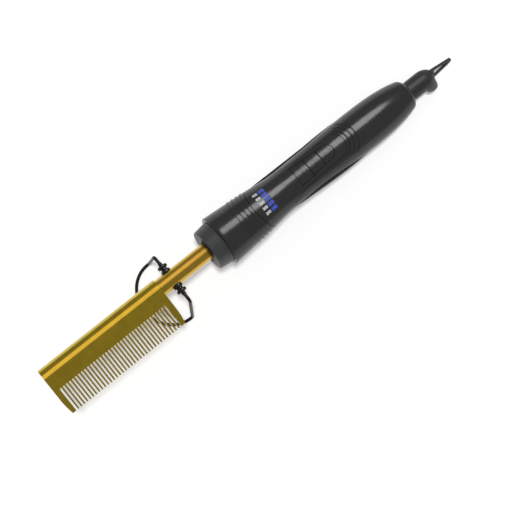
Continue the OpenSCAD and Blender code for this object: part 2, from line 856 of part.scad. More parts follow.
function cover_outline(grow) =
    let (s0 = seam_s - 8, s1 = cover_end_s - cover_arch_len)
    both_sides(concat(
        [for (s = even(s0, s1, cover_steps)) [s, min(cover_half(s), 1.5 * palm_r) + grow]],
        [for (p = arch(s1, cover_half(s1), cover_arch_len, cover_steps)) if (p[0] > s1)
            [p[0] + grow * (p[0] - s1) / cover_arch_len, p[1] + grow]],
        [[cover_end_s + grow, 0]]
    ));

module over_plan(outline) {
    linear_extrude(past) polygon(outline);
}

module cover_zone(grow, top, bottom) {
    intersection() {
        skin_layer(seam_s - 8, cover_end_s + 4, top, bottom);
        over_plan(cover_outline(grow));
    }
}

// Outline of one button, or of all three, grown sideways and lengthways
function key_outline(s0, s1, grow_side, grow_end) =
    let (arch_s = keypad_end_s - keypad_arch_len, last = s1 > arch_s,
        straight = last ? arch_s : s1)
    both_sides(concat(
        [[s0 - grow_end, keypad_half(s0) + grow_side], [straight, keypad_half(straight) + grow_side]],
        last
            ? [for (p = arch(arch_s, keypad_half(arch_s), keypad_arch_len, cover_steps))
                if (p[0] > arch_s)
                [p[0] + grow_end * (p[0] - arch_s) / keypad_arch_len, p[1] + grow_side]]
            : [[s1 + grow_end, keypad_half(s1) + grow_side]]
    ));

module window_holes(w, gap) {
    for (i = [0:window_count - 1]) rotate([window_turn(i), 0, 0])
        block(window_s - window_len / 2 - gap, window_s + window_len / 2 + gap,
            -w / 2 - gap, w / 2 + gap, cavity_r - 2, past);
}

function window_turn(i) = (i - (window_count - 1) / 2) * window_step;

module ornament_arc(i) {
    apex = cover_end_s + arc_first_gap + i * arc_pitch;
    half = arc_half + i * arc_half_step;
    r = (half * half + arc_sagitta * arc_sagitta) / (2 * arc_sagitta);
    intersection() {
        skin_layer(apex - 2 * arc_sagitta, apex + arc_pitch, 2, -arc_depth);
        translate([r - apex, 0, 0]) difference() {
            cylinder(h = past, r = r + arc_w / 2);
            translate([0, 0, -over]) cylinder(h = past + 2 * over, r = r - arc_w / 2);
            translate([arc_sagitta - r, -past, -over]) cube([2 * past, 2 * past, past + 2 * over]);
        }
    }
}

module upper_shell() {
    color(black_plastic) rest_pose() difference() {
        union() {
            upper_half() casing();
            for (side = [-1, 1]) shell_boss(side, split_gap, skin_r(shell_screw_s) - 2);
        }
        cover_zone(seam_gap, 2, -cover_t - fixed_gap);
        over_plan(key_outline(keypad_s, keypad_end_s, flange_over + 0.3, 0.3));
        window_holes(light_pipe_w, window_gap);
        for (i = [0:arc_count - 1]) ornament_arc(i);
        for (side = [-1, 1]) post(shell_screw_s, side * shell_screw_half, -over,
            shell_screw_end + 0.3, shell_screw_r + fixed_gap);
    }
}

module shell_boss(side, z0, z1) {
    intersection() {
        post(shell_screw_s, side * shell_screw_half, z0, z1, shell_boss_r);
        turned([[shell_screw_s - past / 4, 0], [shell_screw_s - past / 4, cavity_r + 1],
            [shell_screw_s + past / 4, cavity_r + 1], [shell_screw_s + past / 4, 0]]);
    }
}

module lower_shell() {
    color(black_plastic) rest_pose() difference() {
        union() {
            lower_half() casing();
            for (side = [-1, 1]) shell_boss(side, -cavity_r - 1, -split_gap);
            for (i = [0, 1]) intersection() {
                post(board_post_s[i], (1 - 2 * i) * board_post_y, -past, board_z - fixed_gap,
                    board_post_r);
                rod(board_front_s, board_rear_s, cavity_r + 1);
            }
        }
        for (i = [0, 1]) post(board_post_s[i], (1 - 2 * i) * board_post_y, -board_z, past,
            board_screw_r + fixed_gap);
        for (side = [-1, 1]) {
            post(shell_screw_s, side * shell_screw_half, -past, past, shell_screw_r + fixed_gap);
            post(shell_screw_s, side * shell_screw_half, -past, shell_head_top + fixed_gap,
                shell_head_r + 0.2);
        }
    }
}

// Lens-shaped layer of the handle's side, raised at its ends and more so at its middle
module grip_shape(side, grow, ends, bottom, middle = 0) {
    turns = even(0, 180, grip_steps);
    stations = [for (a = turns)
        grip_front_s - grow + (grip_rear_s - grip_front_s + 2 * grow) * a / 180];
    raised = [for (i = [0:grip_steps])
        [stations[i], skin_r(stations[i]) + ends + middle * sin(turns[i])]];
    sunk = [for (s = stations) [s, skin_r(s) + bottom]];
    intersection() {
        turned(concat(raised, reversed(sunk)));
        rotate([side > 0 ? -90 : 90, 0, 0]) linear_extrude(past) polygon(both_sides(
            [for (i = [0:grip_steps]) [stations[i], (grip_half_h + grow) * sin(turns[i])]]));
    }
}

module grip(side) {
    color(soft_black) rest_pose() grip_shape(side, 0, 0, -grip_depth, grip_proud);
}

module grip_left() { grip(-1); }

module grip_right() { grip(1); }

// Controls
module control_cover() {
    color(black_plastic) rest_pose() difference() {
        upper_half() cover_zone(0, 0, -cover_t);
        ahead_of_seam();
        over_plan(key_outline(keypad_s, keypad_end_s, seam_gap, seam_gap));
        window_holes(window_w, window_gap);
        for (side = [-1, 1]) grip_shape(side, seam_gap, over, -grip_depth - fixed_gap);
    }
}

function button_s0(i) = keypad_s + i * button_len + (i > 0 ? button_gap / 2 : 0);
function button_s1(i) = keypad_s + (i + 1) * button_len - (i < 2 ? button_gap / 2 : 0);
function button_mid(i) = (button_s0(i) + button_s1(i)) / 2;
function plunger_top(i) =
    sqrt((skin_r(button_mid(i)) - button_t) ^ 2 - plunger_r ^ 2) - fixed_gap;

// A button: its cap in the cover's opening, and side flanges under the cover's edge
module button(i) {
    intersection() {
        skin_layer(keypad_s - 2, keypad_end_s + 2, 0, -button_t);
        over_plan(key_outline(button_s0(i), button_s1(i), 0, 0));
    }
    intersection() {
        skin_layer(keypad_s - 2, keypad_end_s + 2, -cover_t - fixed_gap, -button_t);
        over_plan(key_outline(button_s0(i), min(button_s1(i), keypad_end_s - keypad_arch_len),
            flange_over, 0));
    }
}

module plunger(i) {
    color(nylon) rest_pose()
        post(button_mid(i), 0, board_top + button_travel + 0.2, plunger_top(i), plunger_r);
}

module minus_button() { color(black_plastic) rest_pose() button(0); }

module plus_button() { color(black_plastic) rest_pose() button(1); }

module power_button() { color(black_plastic) rest_pose() button(2); }

module minus_plunger() { plunger(0); }

module plus_plunger() { plunger(1); }

module power_plunger() { plunger(2); }

// Windows in the cover, their light pipes, and the plate that joins them inside the casing
module indicator_windows() {
    plate_turn = (window_count - 1) / 2 * window_step + 8;
    color(window_blue) rest_pose() {
        intersection() {
            turned(concat(
                [[window_s - window_len, cavity_r - window_plate_t]],
                skin(window_s - window_len, window_s + window_len),
                [[window_s + window_len, cavity_r - window_plate_t]]
            ));
            window_holes(light_pipe_w, 0);
        }
        intersection() {
            skin_layer(window_s - window_len, window_s + window_len, 0, -cover_t);
            window_holes(window_w, 0);
        }
        intersection() {
            tube(window_s - window_len / 2 - 1, window_s + window_len / 2 + 1,
                cavity_r - fixed_gap, cavity_r - window_plate_t);
            rotate([90, 0, 90]) linear_extrude(4 * past, center = true)
                polygon([[0, 0], [-past * tan(plate_turn), past], [past * tan(plate_turn), past]]);
        }
    }
}

module indicator_leds() {
    color(ceramic) rest_pose() for (i = [0:window_count - 1])
        let (y = -cavity_r * sin(window_turn(i)))
        block(window_s - led_len / 2, window_s + led_len / 2, y - led_w / 2, y + led_w / 2,
            board_top, board_top + led_h);
}

// Electronics
module circuit_board() {
    color(board_green) rest_pose() difference() {
        block(board_front_s, board_rear_s, -board_w / 2, board_w / 2, board_z, board_top);
        for (i = [0, 1]) post(board_post_s[i], (1 - 2 * i) * board_post_y, 0, past,
            board_screw_r + fixed_gap);
    }
}

module switch_housings() {
    color(chip_black) rest_pose() for (i = [0:2]) difference() {
        block(button_mid(i) - switch_side / 2, button_mid(i) + switch_side / 2,
            -switch_side / 2, switch_side / 2, board_top, switch_top);
        post(button_mid(i), 0, board_top + 0.1, past, plunger_r + running_gap);
    }
}

module microcontroller() {
    color(chip_black) rest_pose()
        block(chip_s, chip_s + chip_len, -chip_w / 2, chip_w / 2, board_top, board_top + chip_h);
}

module power_triac() {
    color(chip_black) rest_pose()
        block(triac_s, triac_s + triac_len, -terminal_half_w, terminal_half_w, -1, board_z);
}

module smoothing_capacitor() {
    color(chip_black) rest_pose()
        rod(capacitor_s, capacitor_s + capacitor_len, capacitor_r,
            z = board_z - capacitor_r - fixed_gap);
}

module fuse() {
    color(ceramic) rest_pose()
        rod(fuse_s, fuse_s + fuse_len, fuse_r, z = board_z - fuse_r - fixed_gap);
}

module terminal_blocks() {
    color(board_green) rest_pose() for (s = [front_terminal_s, rear_terminal_s])
        block(s, s + terminal_len, -terminal_half_w, terminal_half_w, terminal_bottom, board_z);
}

module board_screws() {
    color(steel) rest_pose() for (i = [0, 1]) {
        post(board_post_s[i], (1 - 2 * i) * board_post_y, 0.3 - board_z, board_top, board_screw_r);
        post(board_post_s[i], (1 - 2 * i) * board_post_y, board_top, board_top + board_head_h,
            board_head_r);
    }
}

module supply_leads() {
    color(nylon) rest_pose() for (side = [-1, 1])
        rod(board_rear_s, block_front_s - fixed_gap, supply_lead_r, y = side * supply_lead_y,
            z = supply_lead_z);
}

module shell_screws() {
    color(steel) rest_pose() for (side = [-1, 1]) difference() {
        union() {
            post(shell_screw_s, side * shell_screw_half, shell_head_top, shell_screw_end,
                shell_screw_r);
            post(shell_screw_s, side * shell_screw_half, shell_head_top - shell_head_h,
                shell_head_top, shell_head_r);
        }
        for (turn = [0, 90])
            translate([-shell_screw_s, side * shell_screw_half, shell_head_top - shell_head_h])
                rotate([0, 0, turn]) cube([2.4, 0.5, 1.4], center = true);
    }
}

// Turning tail, its bearing and its contacts
module contact_block() {
    color(chip_black) rest_pose() difference() {
        intersection() {
            turned([
                [block_front_s, 0], [block_front_s, cavity_way_r(block_front_s)],
                [taper_s, cavity_way_r(taper_s)], [block_rear_s, cavity_way_r(block_rear_s)],
                [block_rear_s, 0]
            ]);
            union() {
                block(block_front_s - over, block_mid_s, -block_half_w, block_half_w,
                    -past, block_top);
                block(block_mid_s - over, block_rear_s + over, -block_half_w, block_half_w,
                    -past, block_step_z);
            }
        }
        for (s = slip_ring_s) post(s + slip_ring_w / 2, 0, block_step_z - brush_depth, past,
            brush_r + fixed_gap);
    }
}

function cavity_way_r(s) =
    cavity_r - fixed_gap
    - (s > taper_s ? (cavity_r - taper_r) * (s - taper_s) / (bearing_wall_s - taper_s) : 0);

module brush_contacts() {
    color(copper) rest_pose() for (s = slip_ring_s) post(s + slip_ring_w / 2, 0,
        block_step_z - brush_depth + fixed_gap, -slip_ring_r - 0.15, brush_r);
}

module slip_rings() {
    color(brass) rest_pose() for (s = slip_ring_s)
        tube(s, s + slip_ring_w, slip_ring_r, ring_seat_r + fixed_gap);
}

module swivel_bush() {
    color(nylon) rest_pose()
        tube(bush_front_s, bush_rear_s - fixed_gap, swivel_bush_r, journal_r + running_gap);
}

module swivel_retainer() {
    color(steel) rest_pose()
        tube(retainer_front_s, retainer_rear_s, retainer_r, journal_r + fixed_gap);
}

module outlet_way() {
    translate([-outlet_s, 0, 0]) rotate([180 + outlet_turn, 0, 0]) children();
}

module tail_swivel() {
    color(grey_plastic) rest_pose() difference() {
        union() {
            turned(concat(
                [
                    [ring_seat_end_s, 0], [ring_seat_end_s, ring_seat_r],
                    [journal_end_s, ring_seat_r], [journal_end_s, journal_r],
                    [swivel_s, journal_r], [swivel_s, swivel_r - 0.4], [swivel_s + 0.4, swivel_r]
                ],
                [for (a = even(0, 90, dome_steps)) [dome_s + dome_len * sin(a), swivel_r * cos(a)]]
            ));
            outlet_way() cylinder(h = outlet_reach, r = outlet_r);
            outlet_way() translate([0, 0, outlet_reach]) sphere(r = outlet_r);
        }
        rod(ring_seat_end_s - over, outlet_s, wire_way_r);
        outlet_way() cylinder(h = past, r = wire_way_r);
        outlet_way() translate([0, 0, grommet_in]) cylinder(h = past, r = grommet_r + fixed_gap);
        rotate([loop_roll, 0, 0])
            block(loop_s - 0.1, past * 5, -loop_t / 2 - fixed_gap, loop_t / 2 + fixed_gap,
                -loop_root_half - fixed_gap, loop_root_half + fixed_gap);
    }
}

module cord_grommet() {
    color(soft_black) rest_pose() outlet_way() rotate_extrude() polygon([
        [cord_r + fixed_gap, grommet_in + fixed_gap], [grommet_r, grommet_in + fixed_gap],
        [grommet_r, grommet_out], [cord_r + fixed_gap, grommet_out]
    ]);
}

// Flat loop: a root in the dome, and two bars that meet at a rounded end
module hanging_loop() {
    tip_s = loop_end_s - loop_end_half;
    slope = (loop_root_half - loop_end_half) / (tip_s - loop_s - loop_root_len);
    hole_s = loop_s + loop_root_len + loop_bar;
    color(soft_black) rest_pose() rotate([90 + loop_roll, 0, 0])
        linear_extrude(loop_t, center = true) difference() {
            polygon(both_sides(concat(
                [[loop_s, loop_root_half], [loop_s + loop_root_len, loop_root_half]],
                [for (a = even(90, 0, loop_steps))
                    [tip_s + loop_end_half * cos(a), loop_end_half * sin(a)]]
            )));
            polygon(both_sides([
                [hole_s, loop_root_half - slope * loop_bar - loop_bar],
                [tip_s - loop_bar, loop_end_half + slope * loop_bar - loop_bar]
            ]));
        }
}

comb_blade();
spine_end_plug();
heat_spreader_upper();
heat_spreader_lower();
heater_plate();
temperature_sensor();
heater_leads();
sensor_leads();
stem_tube();
stem_ring();
pivot_bush_left();
pivot_bush_right();
stand_wire();
stem_seal();
nose_collar();
front_sleeve();
stem_clamp_upper();
stem_clamp_lower();
clamp_screws();
upper_shell();
lower_shell();
grip_left();
grip_right();
control_cover();
minus_button();
plus_button();
power_button();
minus_plunger();
plus_plunger();
power_plunger();
indicator_windows();
indicator_leds();
circuit_board();
switch_housings();
microcontroller();
power_triac();
smoothing_capacitor();
fuse();
terminal_blocks();
board_screws();
supply_leads();
contact_block();
brush_contacts();
slip_rings();
swivel_bush();
swivel_retainer();
tail_swivel();
cord_grommet();
hanging_loop();
shell_screws();
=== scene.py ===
"""Looks of an electric hot comb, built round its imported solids.

Each piece is modelled in millimetres on the tool's own axis: x runs forward to the comb's tip,
y to the teeth and z up to the buttons. A station is a distance behind the nose's front face, so
x = -station. place() then sets the piece down as the tool rests on its stand.
"""

import json
import math

import bmesh
import bpy
from mathutils import Matrix, Vector


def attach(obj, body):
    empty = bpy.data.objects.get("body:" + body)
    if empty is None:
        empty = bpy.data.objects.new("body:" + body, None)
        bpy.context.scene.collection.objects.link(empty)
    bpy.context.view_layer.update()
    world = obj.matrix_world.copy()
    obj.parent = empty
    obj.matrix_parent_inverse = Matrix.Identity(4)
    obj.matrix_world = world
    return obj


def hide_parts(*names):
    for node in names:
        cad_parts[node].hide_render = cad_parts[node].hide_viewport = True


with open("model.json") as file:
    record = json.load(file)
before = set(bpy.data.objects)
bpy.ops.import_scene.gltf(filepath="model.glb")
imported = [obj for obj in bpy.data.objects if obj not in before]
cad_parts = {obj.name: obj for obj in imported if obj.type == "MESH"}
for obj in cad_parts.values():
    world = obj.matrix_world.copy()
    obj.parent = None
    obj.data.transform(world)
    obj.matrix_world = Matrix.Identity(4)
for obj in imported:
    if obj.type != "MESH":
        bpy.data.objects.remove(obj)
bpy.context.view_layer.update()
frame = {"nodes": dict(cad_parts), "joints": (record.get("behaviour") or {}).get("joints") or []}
nodes = frame["nodes"]
joints = {joint["name"]: joint for joint in frame["joints"]}

# ---- Where the tool rests ----

MM = 0.001
PIVOT_AHEAD = 26  # from the nose to the stand's pivot
tool_axis = Vector(joints["tail_turn"]["axis"])
pivot = Vector(joints["stand_swing"]["pos_m"])
pitch = math.atan2(tool_axis.z, tool_axis.x)
nose = pivot - tool_axis * PIVOT_AHEAD * MM
REST = Matrix.Translation(nose) @ Matrix.Rotation(-pitch, 4, "Y")
ON_TOOL = REST @ Matrix.Scale(MM, 4)
ON_PIVOT = Matrix.Translation(pivot) @ Matrix.Scale(MM, 4)
SPOOL_AT = Vector((PIVOT_AHEAD, 0, 0))

BACK = Vector((-1, 0, 0))
ACROSS = Vector((0, 1, 0))
UP = Vector((0, 0, 1))
ORIGIN = Vector((0, 0, 0))

# ---- Sizes in millimetres ----

# Comb
COMB_REAR, COMB_TIP = -35.2, -117.4
SPINE_R = 6.2
COMB_REACH = 24.8
TOOTH_TIP = 0.65
SLOTS, SLOT_W, SLOT_ROOT = 36, 1.15, 10
FIRST_SLOT = COMB_TIP + 3.5
LAST_SLOT = COMB_REAR - 3.8 - SLOT_W
END_SWEEP = 1.2
HEATER_BORE = 4.2

# Stem and stand
STEM_R, STEM_BORE = 5.3, 4.3
STEM_FRONT, STEM_REAR = COMB_REAR - 8, 34
WIRE_R = 1
LEG_HALF = 16.3
FOOT_HALF, FOOT_DEPTH = 20.7, 18.5
LEG_LEAN, LEG_DROP = 4.4, 30.231
TOP_BEND, ANKLE_BEND = 2.6, 1.3
BUSH_END = 9.7
SHANK_IN, SHANK_R = STEM_BORE - 0.8, 1.95
PEG_R, PEG_OUT, POCKET_DEPTH = 0.45, 2.3, 1.1
STAND_SWING = 83

# Nose
NOSE_LEN = 8.8
NOSE_FRONT_R, NOSE_REAR_R = 12.7, 13.9
SPIGOT_R, SPIGOT_END = 11.95, 19.8
SEAL_HALF, SEAL_DEPTH, SEAL_END = 5.4, 3.2, 11.9

# Handle
SKIN = ((8.9, 16.2, -0.07), (40, 13.65, -0.1), (58, 12.1, 0), (107, 13.5, 0), (152.5, 10.2, -0.26))
SKIN_END = SKIN[-1][0]
LIP, LIP_ROUND = 8.9, 0.7
SLEEVE_BORE, CAVITY_R = 12, 9.5
SEAM, SEAM_TILT = 40, 24.4
SEAM_GAP, KEY_SEAM = 0.36, 0.45
SPLIT_GAP = 0.03
END_ROUND, END_RIM = 4, 6.6
END_LEAN = math.atan(-SKIN[-1][2])
END_CENTRE = (SKIN_END - END_ROUND * math.sin(END_LEAN), SKIN[-1][1] - END_ROUND * math.cos(END_LEAN))
END_TURN = math.asin((END_RIM - END_CENTRE[1]) / END_ROUND)
HANDLE_END = END_CENTRE[0] + END_ROUND * math.cos(END_TURN)
BEARING, BEARING_REAR = HANDLE_END - 9.2, HANDLE_END - 2
RIB_FIRST, RIB_PITCH = 27.5, 3.07
RIB_TILT, RIB_TILT_STEP = 15, 1.3
RIB_W, RIB_HEIGHT = 1, 0.4
GRIP_FRONT, GRIP_REAR = 57, 112
GRIP_HALF, GRIP_DEPTH, GRIP_PROUD = 3.4, 1, 0.5

# Controls
COVER_T = 1.3
COVER_END, COVER_ARCH = 101.8, 6
KEYPAD, KEY_LEN, KEY_GAP = 66, 9.1, 0.7
KEYPAD_END, KEYPAD_ARCH = KEYPAD + 3 * KEY_LEN, 4.3
KEY_FRONT_HALF, KEY_REAR_HALF = 6.25, 4.5
KEY_T = 2.3
FLANGE, FLANGE_END = 0.6, 0.22
ARC_W, ARC_RISE = 1.05, 4.7
WINDOW, WINDOW_LEN, WINDOW_W = 44.3, 4.1, 2.2
WINDOW_TURNS = [(i - 2) * 14 for i in range(5)]
PIPE_W = 1.4
NUMBER, NUMBER_LEN, NUMBER_H = 39.9, 3.5, 2.1
SHELL_SCREW, SHELL_SCREW_HALF = 116, 6
SCREW_R, SCREW_HEAD_R, SCREW_HEAD, BOSS_R, BOSS_LEN = 1.15, 2.3, 6.15, 2.5, 9.2

# Tail
SWIVEL, SWIVEL_R = HANDLE_END + 0.25, 6.3
DOME, DOME_LEN = SWIVEL + 12, 8.6
RING_SEAT, JOURNAL, JOURNAL_R = HANDLE_END - 22.4, HANDLE_END - 12.8, 4.6
TAIL_BORE, BUSH_SEAT_R, RING_ROOM, RING_ROOM_R = 4.9, 6.25, 127.5, 8.4
OUTLET, OUTLET_R, OUTLET_REACH = DOME + 3.7, 4.3, 5.6
OUTLET_TURN = 58
LINING_R, CORD_BORE, NUB_SEAT, WIRE_WAY_R = 3.5, 2.8, 2.6, 2.4
LINING_END = OUTLET_REACH + math.sqrt(OUTLET_R**2 - LINING_R**2) + 0.2
LOOP = OUTLET + 2.9
LOOP_END = LOOP + 16.8
LOOP_ROOT_HALF, LOOP_END_HALF, LOOP_ROOT_LEN = 4.6, 1.7, 1.4
LOOP_T, LOOP_BAR, LOOP_ROLL = 1.5, 1.4, 17

ROUND = 128  # faces round a large turned piece


def skin_r(s):
    """Radius of the handle's surface at a station."""
    for (s0, r0, m0), (s1, r1, m1) in zip(SKIN, SKIN[1:]):
        if s <= s1 or s1 == SKIN[-1][0]:
            length = s1 - s0
            t = (s - s0) / length
            return (
                (2 * t**3 - 3 * t**2 + 1) * r0 + (t**3 - 2 * t**2 + t) * length * m0
                + (3 * t**2 - 2 * t**3) * r1 + (t**3 - t**2) * length * m1
            )


def even(a, b, n):
    return [a + (b - a) * i / n for i in range(n + 1)]


def skin(s0, s1, off=0.0, step=1.5):
    """Points along the handle's surface, or along one at a distance from it."""
    return [(s, skin_r(s) + off) for s in even(s0, s1, max(1, math.ceil((s1 - s0) / step)))]


def arc(centre, r, a0, a1, n):
    """Points of an arc, from angle a0 to a1 in degrees."""
    return [
        (centre[0] + r * math.cos(math.radians(a)), centre[1] + r * math.sin(math.radians(a)))
        for a in even(a0, a1, n)
    ]


# ---- Ways of modelling ----


def leave():
    """Back to object mode, with nothing selected."""
    if bpy.context.object and bpy.context.object.mode != "OBJECT":
        bpy.ops.object.mode_set(mode="OBJECT")
    bpy.ops.object.select_all(action="DESELECT")


def take(obj):
    """Only this object is selected and active."""
    leave()
    obj.select_set(True)
    bpy.context.view_layer.objects.active = obj


def edit(obj, pick="SELECT"):
    """Open a piece in edit mode with all of it, or none of it, selected."""
    take(obj)
    bpy.ops.object.mode_set(mode="EDIT")
    bpy.ops.mesh.select_all(action=pick)


def copy(obj, name):
    take(obj)
    bpy.ops.object.duplicate()
    bpy.context.object.name = name
    return bpy.context.object


def trace(name, points, closed=True):
    """A line drawn from point to point. It stays open in edit mode, all selected."""
    leave()
    bpy.ops.mesh.primitive_plane_add(size=1)
    line = bpy.context.object
    line.name = name
    edit(line)
    bpy.ops.mesh.merge(type="CENTER")
    bpy.ops.transform.translate(value=points[0])
    for a, b in zip(points, points[1:]):
        bpy.ops.mesh.extrude_vertices_move(TRANSFORM_OT_translate={"value": b - a})
    if closed:
        bpy.ops.mesh.select_all(action="DESELECT")
        made = bmesh.from_edit_mesh(line.data)
        for vert in made.verts:
            vert.select_set(len(vert.link_edges) == 1)
        made.select_flush_mode()
        bmesh.update_edit_mesh(line.data)
        bpy.ops.mesh.edge_face_add()
    bpy.ops.mesh.select_all(action="SELECT")
    return line


def close_up(obj, gap=0.001):
    """Merge what coincides, fill open ends and turn all faces outwards."""
    edit(obj)
    bpy.ops.mesh.remove_doubles(threshold=gap)
    bpy.ops.mesh.fill_holes(sides=0)
    bpy.ops.mesh.select_all(action="SELECT")
    bpy.ops.mesh.normals_make_consistent(inside=False)
    leave()
    return obj


def spun(name, profile, foot=ORIGIN, way=BACK, side=UP, steps=ROUND, turn=360):
    """A turned piece: a closed profile of (distance along the axis, radius), spun round the axis."""
    ring = trace(name, [foot + way * a + side * r for a, r in profile])
    bpy.ops.mesh.spin(steps=steps, angle=math.radians(turn), center=foot, axis=way)
    return close_up(ring)


def drum(name, a, b, r, bore=0, **how):
    """A turned cylinder from a to b along its axis, or a tube."""
    return spun(name, [(a, bore), (a, r), (b, r), (b, bore)], **how)


def layer(name, s0, s1, top, bottom, step=1.5):
    """A ring between two distances from the handle's surface."""
    return spun(name, skin(s0, s1, top, step) + skin(s0, s1, bottom, step)[::-1])


def round_bar(name, path, r, fineness):
    """A round bar with its centre line along an open path."""
    bar = trace(name, path, closed=False)
    take(bar)
    bpy.ops.object.convert(target="CURVE")
    bar.data.bevel_depth = r
    bar.data.bevel_resolution = fineness
    bar.data.use_fill_caps = True
    bpy.ops.object.convert(target="MESH")
    return close_up(bar)


def prism(name, outline, run):
    """A closed outline of points, filled and extruded by a vector."""
    solid = trace(name, outline)
    bpy.ops.mesh.edge_face_add()
    bpy.ops.mesh.extrude_region_move(TRANSFORM_OT_translate={"value": run})
    return close_up(solid)


def block(name, s0, s1, y0, y1, z0, z1):
    """A square cutter."""
    corners = ((-s0, y0), (-s1, y0), (-s1, y1), (-s0, y1))
    return prism(name, [Vector((x, y, z0)) for x, y in corners], Vector((0, 0, z1 - z0)))


def apply(obj, kind, **settings):
    """Add a modifier with its settings and apply it."""
    take(obj)
    modifier = obj.modifiers.new(kind, kind)
    for name, value in settings.items():
        setattr(modifier, name, value)
    bpy.ops.object.modifier_apply(modifier=modifier.name)


def cut(obj, *tools, operation="DIFFERENCE"):
    """Take other pieces out of a piece. They are used up."""
    for tool in tools:
        apply(obj, "BOOLEAN", object=tool, operation=operation, solver="EXACT")
        bpy.data.objects.remove(tool)
    return obj


def meet(obj, tool):
    """Keep what a piece shares with another."""
    return cut(obj, tool, operation="INTERSECT")


def weld(obj, *tools):
    """Make one solid of a piece and others."""
    return cut(obj, *tools, operation="UNION")


def join(obj, *others):
    """Make pieces one, without cutting them."""
    take(obj)
    for other in others:
        other.select_set(True)
    bpy.ops.object.join()


def halve(obj, at, facing):
    """Cut a solid along a plane and keep the part behind it."""
    edit(obj)
    bpy.ops.mesh.bisect(plane_co=at, plane_no=facing, use_fill=True, clear_outer=True)
    leave()
    return obj


def turned(obj, degrees, axis="X", centre=ORIGIN):
    edit(obj)
    bpy.ops.transform.rotate(
        value=-math.radians(degrees), orient_axis=axis, orient_type="GLOBAL", center_override=centre
    )
    leave()
    return obj


def soften(obj, width, segments=2, angle=35, smooth=30, weighted=False):
    """Round the sharp edges by a width, and shade the rest smooth. Weighted shading keeps long
    faces straight in reflections where they meet the rounding."""
    edit(obj)
    bpy.ops.mesh.remove_doubles(threshold=0.004)
    bpy.ops.mesh.dissolve_degenerate(threshold=0.002)
    leave()
    apply(obj, "BEVEL", width=width, segments=segments, limit_method="ANGLE",
          angle_limit=math.radians(angle))
    bpy.ops.object.shade_smooth_by_angle(angle=math.radians(smooth))
    if weighted:
        apply(obj, "WEIGHTED_NORMAL", keep_sharp=True)


def skin_form():
    """The handle's bare surface, from which the cut pieces take their shading."""
    line = trace("skin_form", [Vector((-s, 0, r)) for s, r in skin(LIP + LIP_ROUND, SKIN_END, 0, 1)],
                 closed=False)
    bpy.ops.mesh.spin(steps=2 * ROUND, angle=math.tau, center=ORIGIN, axis=BACK)
    bpy.ops.mesh.select_all(action="SELECT")
    bpy.ops.mesh.remove_doubles(threshold=0.001)
    leave()
    # The form is open at both ends, so its outside is set by hand
    face = line.data.polygons[0]
    if face.normal.dot(Vector((0, face.center.y, face.center.z))) < 0:
        edit(line)
        bpy.ops.mesh.flip_normals()
        leave()
    take(line)
    bpy.ops.object.shade_smooth()
    return line


def take_skin(obj, form):
    """Shade a cut piece's outer surface as one smooth form."""
    group = obj.vertex_groups.new(name="skin")
    on_skin = [
        v.index for v in obj.data.vertices
        if LIP + 1.2 < -v.co.x < SKIN_END - 0.3
        and abs(math.hypot(v.co.y, v.co.z) - skin_r(-v.co.x)) < 0.012
    ]
    group.add(on_skin, 1, "REPLACE")
    apply(obj, "DATA_TRANSFER", object=form, use_loop_data=True, data_types_loops={"CUSTOM_NORMAL"},
          loop_mapping="POLYINTERP_NEAREST", vertex_group="skin")
    obj.vertex_groups.clear()


def place(obj, body, slot, material, *replaced, where=ON_TOOL):
    """Set a finished piece down in the row frame, on its body."""
    take(obj)
    obj.matrix_world = where @ obj.matrix_world
    bpy.ops.object.transform_apply(location=True, rotation=True, scale=True)
    obj.data.materials.clear()
    obj.data.materials.append(material)
    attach(obj, body)
    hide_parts(*replaced)
    leave()


# ---- Materials ----


def colour(code):
    """The linear colour of an sRGB hex value."""
    parts = [int(code[i:i + 2], 16) / 255 for i in (1, 3, 5)]
    linear = [p / 12.92 if p <= 0.04045 else ((p + 0.055) / 1.055) ** 2.4 for p in parts]
    return (*linear, 1)


def add(tree, kind, inputs=None, **settings):
    """A node with its settings. An input is a value, or the socket that feeds it."""
    node = tree.nodes.new(kind)
    for name, value in settings.items():
        setattr(node, name, value)
    for name, value in (inputs or {}).items():
        socket = node.inputs[name]
        if isinstance(value, bpy.types.NodeSocket):
            tree.links.new(value, socket)
        else:
            socket.default_value = value
    return node


def started(name):
    """A new material with an empty tree."""
    material = bpy.data.materials.new(name)
    material.use_nodes = True
    material.node_tree.nodes.clear()
    return material, material.node_tree


def done(material, surface):
    add(material.node_tree, "ShaderNodeOutputMaterial", {"Surface": surface.outputs[0]})
    return material


def polished_gold(name, lines, detail, unevenness, gloss, coat, tint):
    """Gold plating with fine lines along the axis, which stretch each highlight. Gloss and coat are
    pairs of values, and tint makes the colour."""
    material, tree = started(name)
    at = add(tree, "ShaderNodeTexCoord").outputs["Object"]
    along = add(tree, "ShaderNodeMapping", {"Vector": at, "Scale": lines})
    grain = add(tree, "ShaderNodeTexNoise", {
        "Vector": along.outputs[0], "Scale": 2.0, "Detail": detail, "Roughness": unevenness})
    rough = add(tree, "ShaderNodeMapRange", {
        "Value": grain.outputs[0], "From Min": 0.3, "From Max": 0.7,
        "To Min": gloss[0], "To Max": gloss[1]})
    bump = add(tree, "ShaderNodeBump", {
        "Height": grain.outputs[0], "Strength": 0.1, "Distance": 0.00002})
    return done(material, add(tree, "ShaderNodeBsdfPrincipled", {
        "Base Color": tint(tree, at), "Metallic": 1.0, "Roughness": rough.outputs[0],
        "Normal": bump.outputs[0], "Coat Weight": coat[0], "Coat Roughness": coat[1]}))


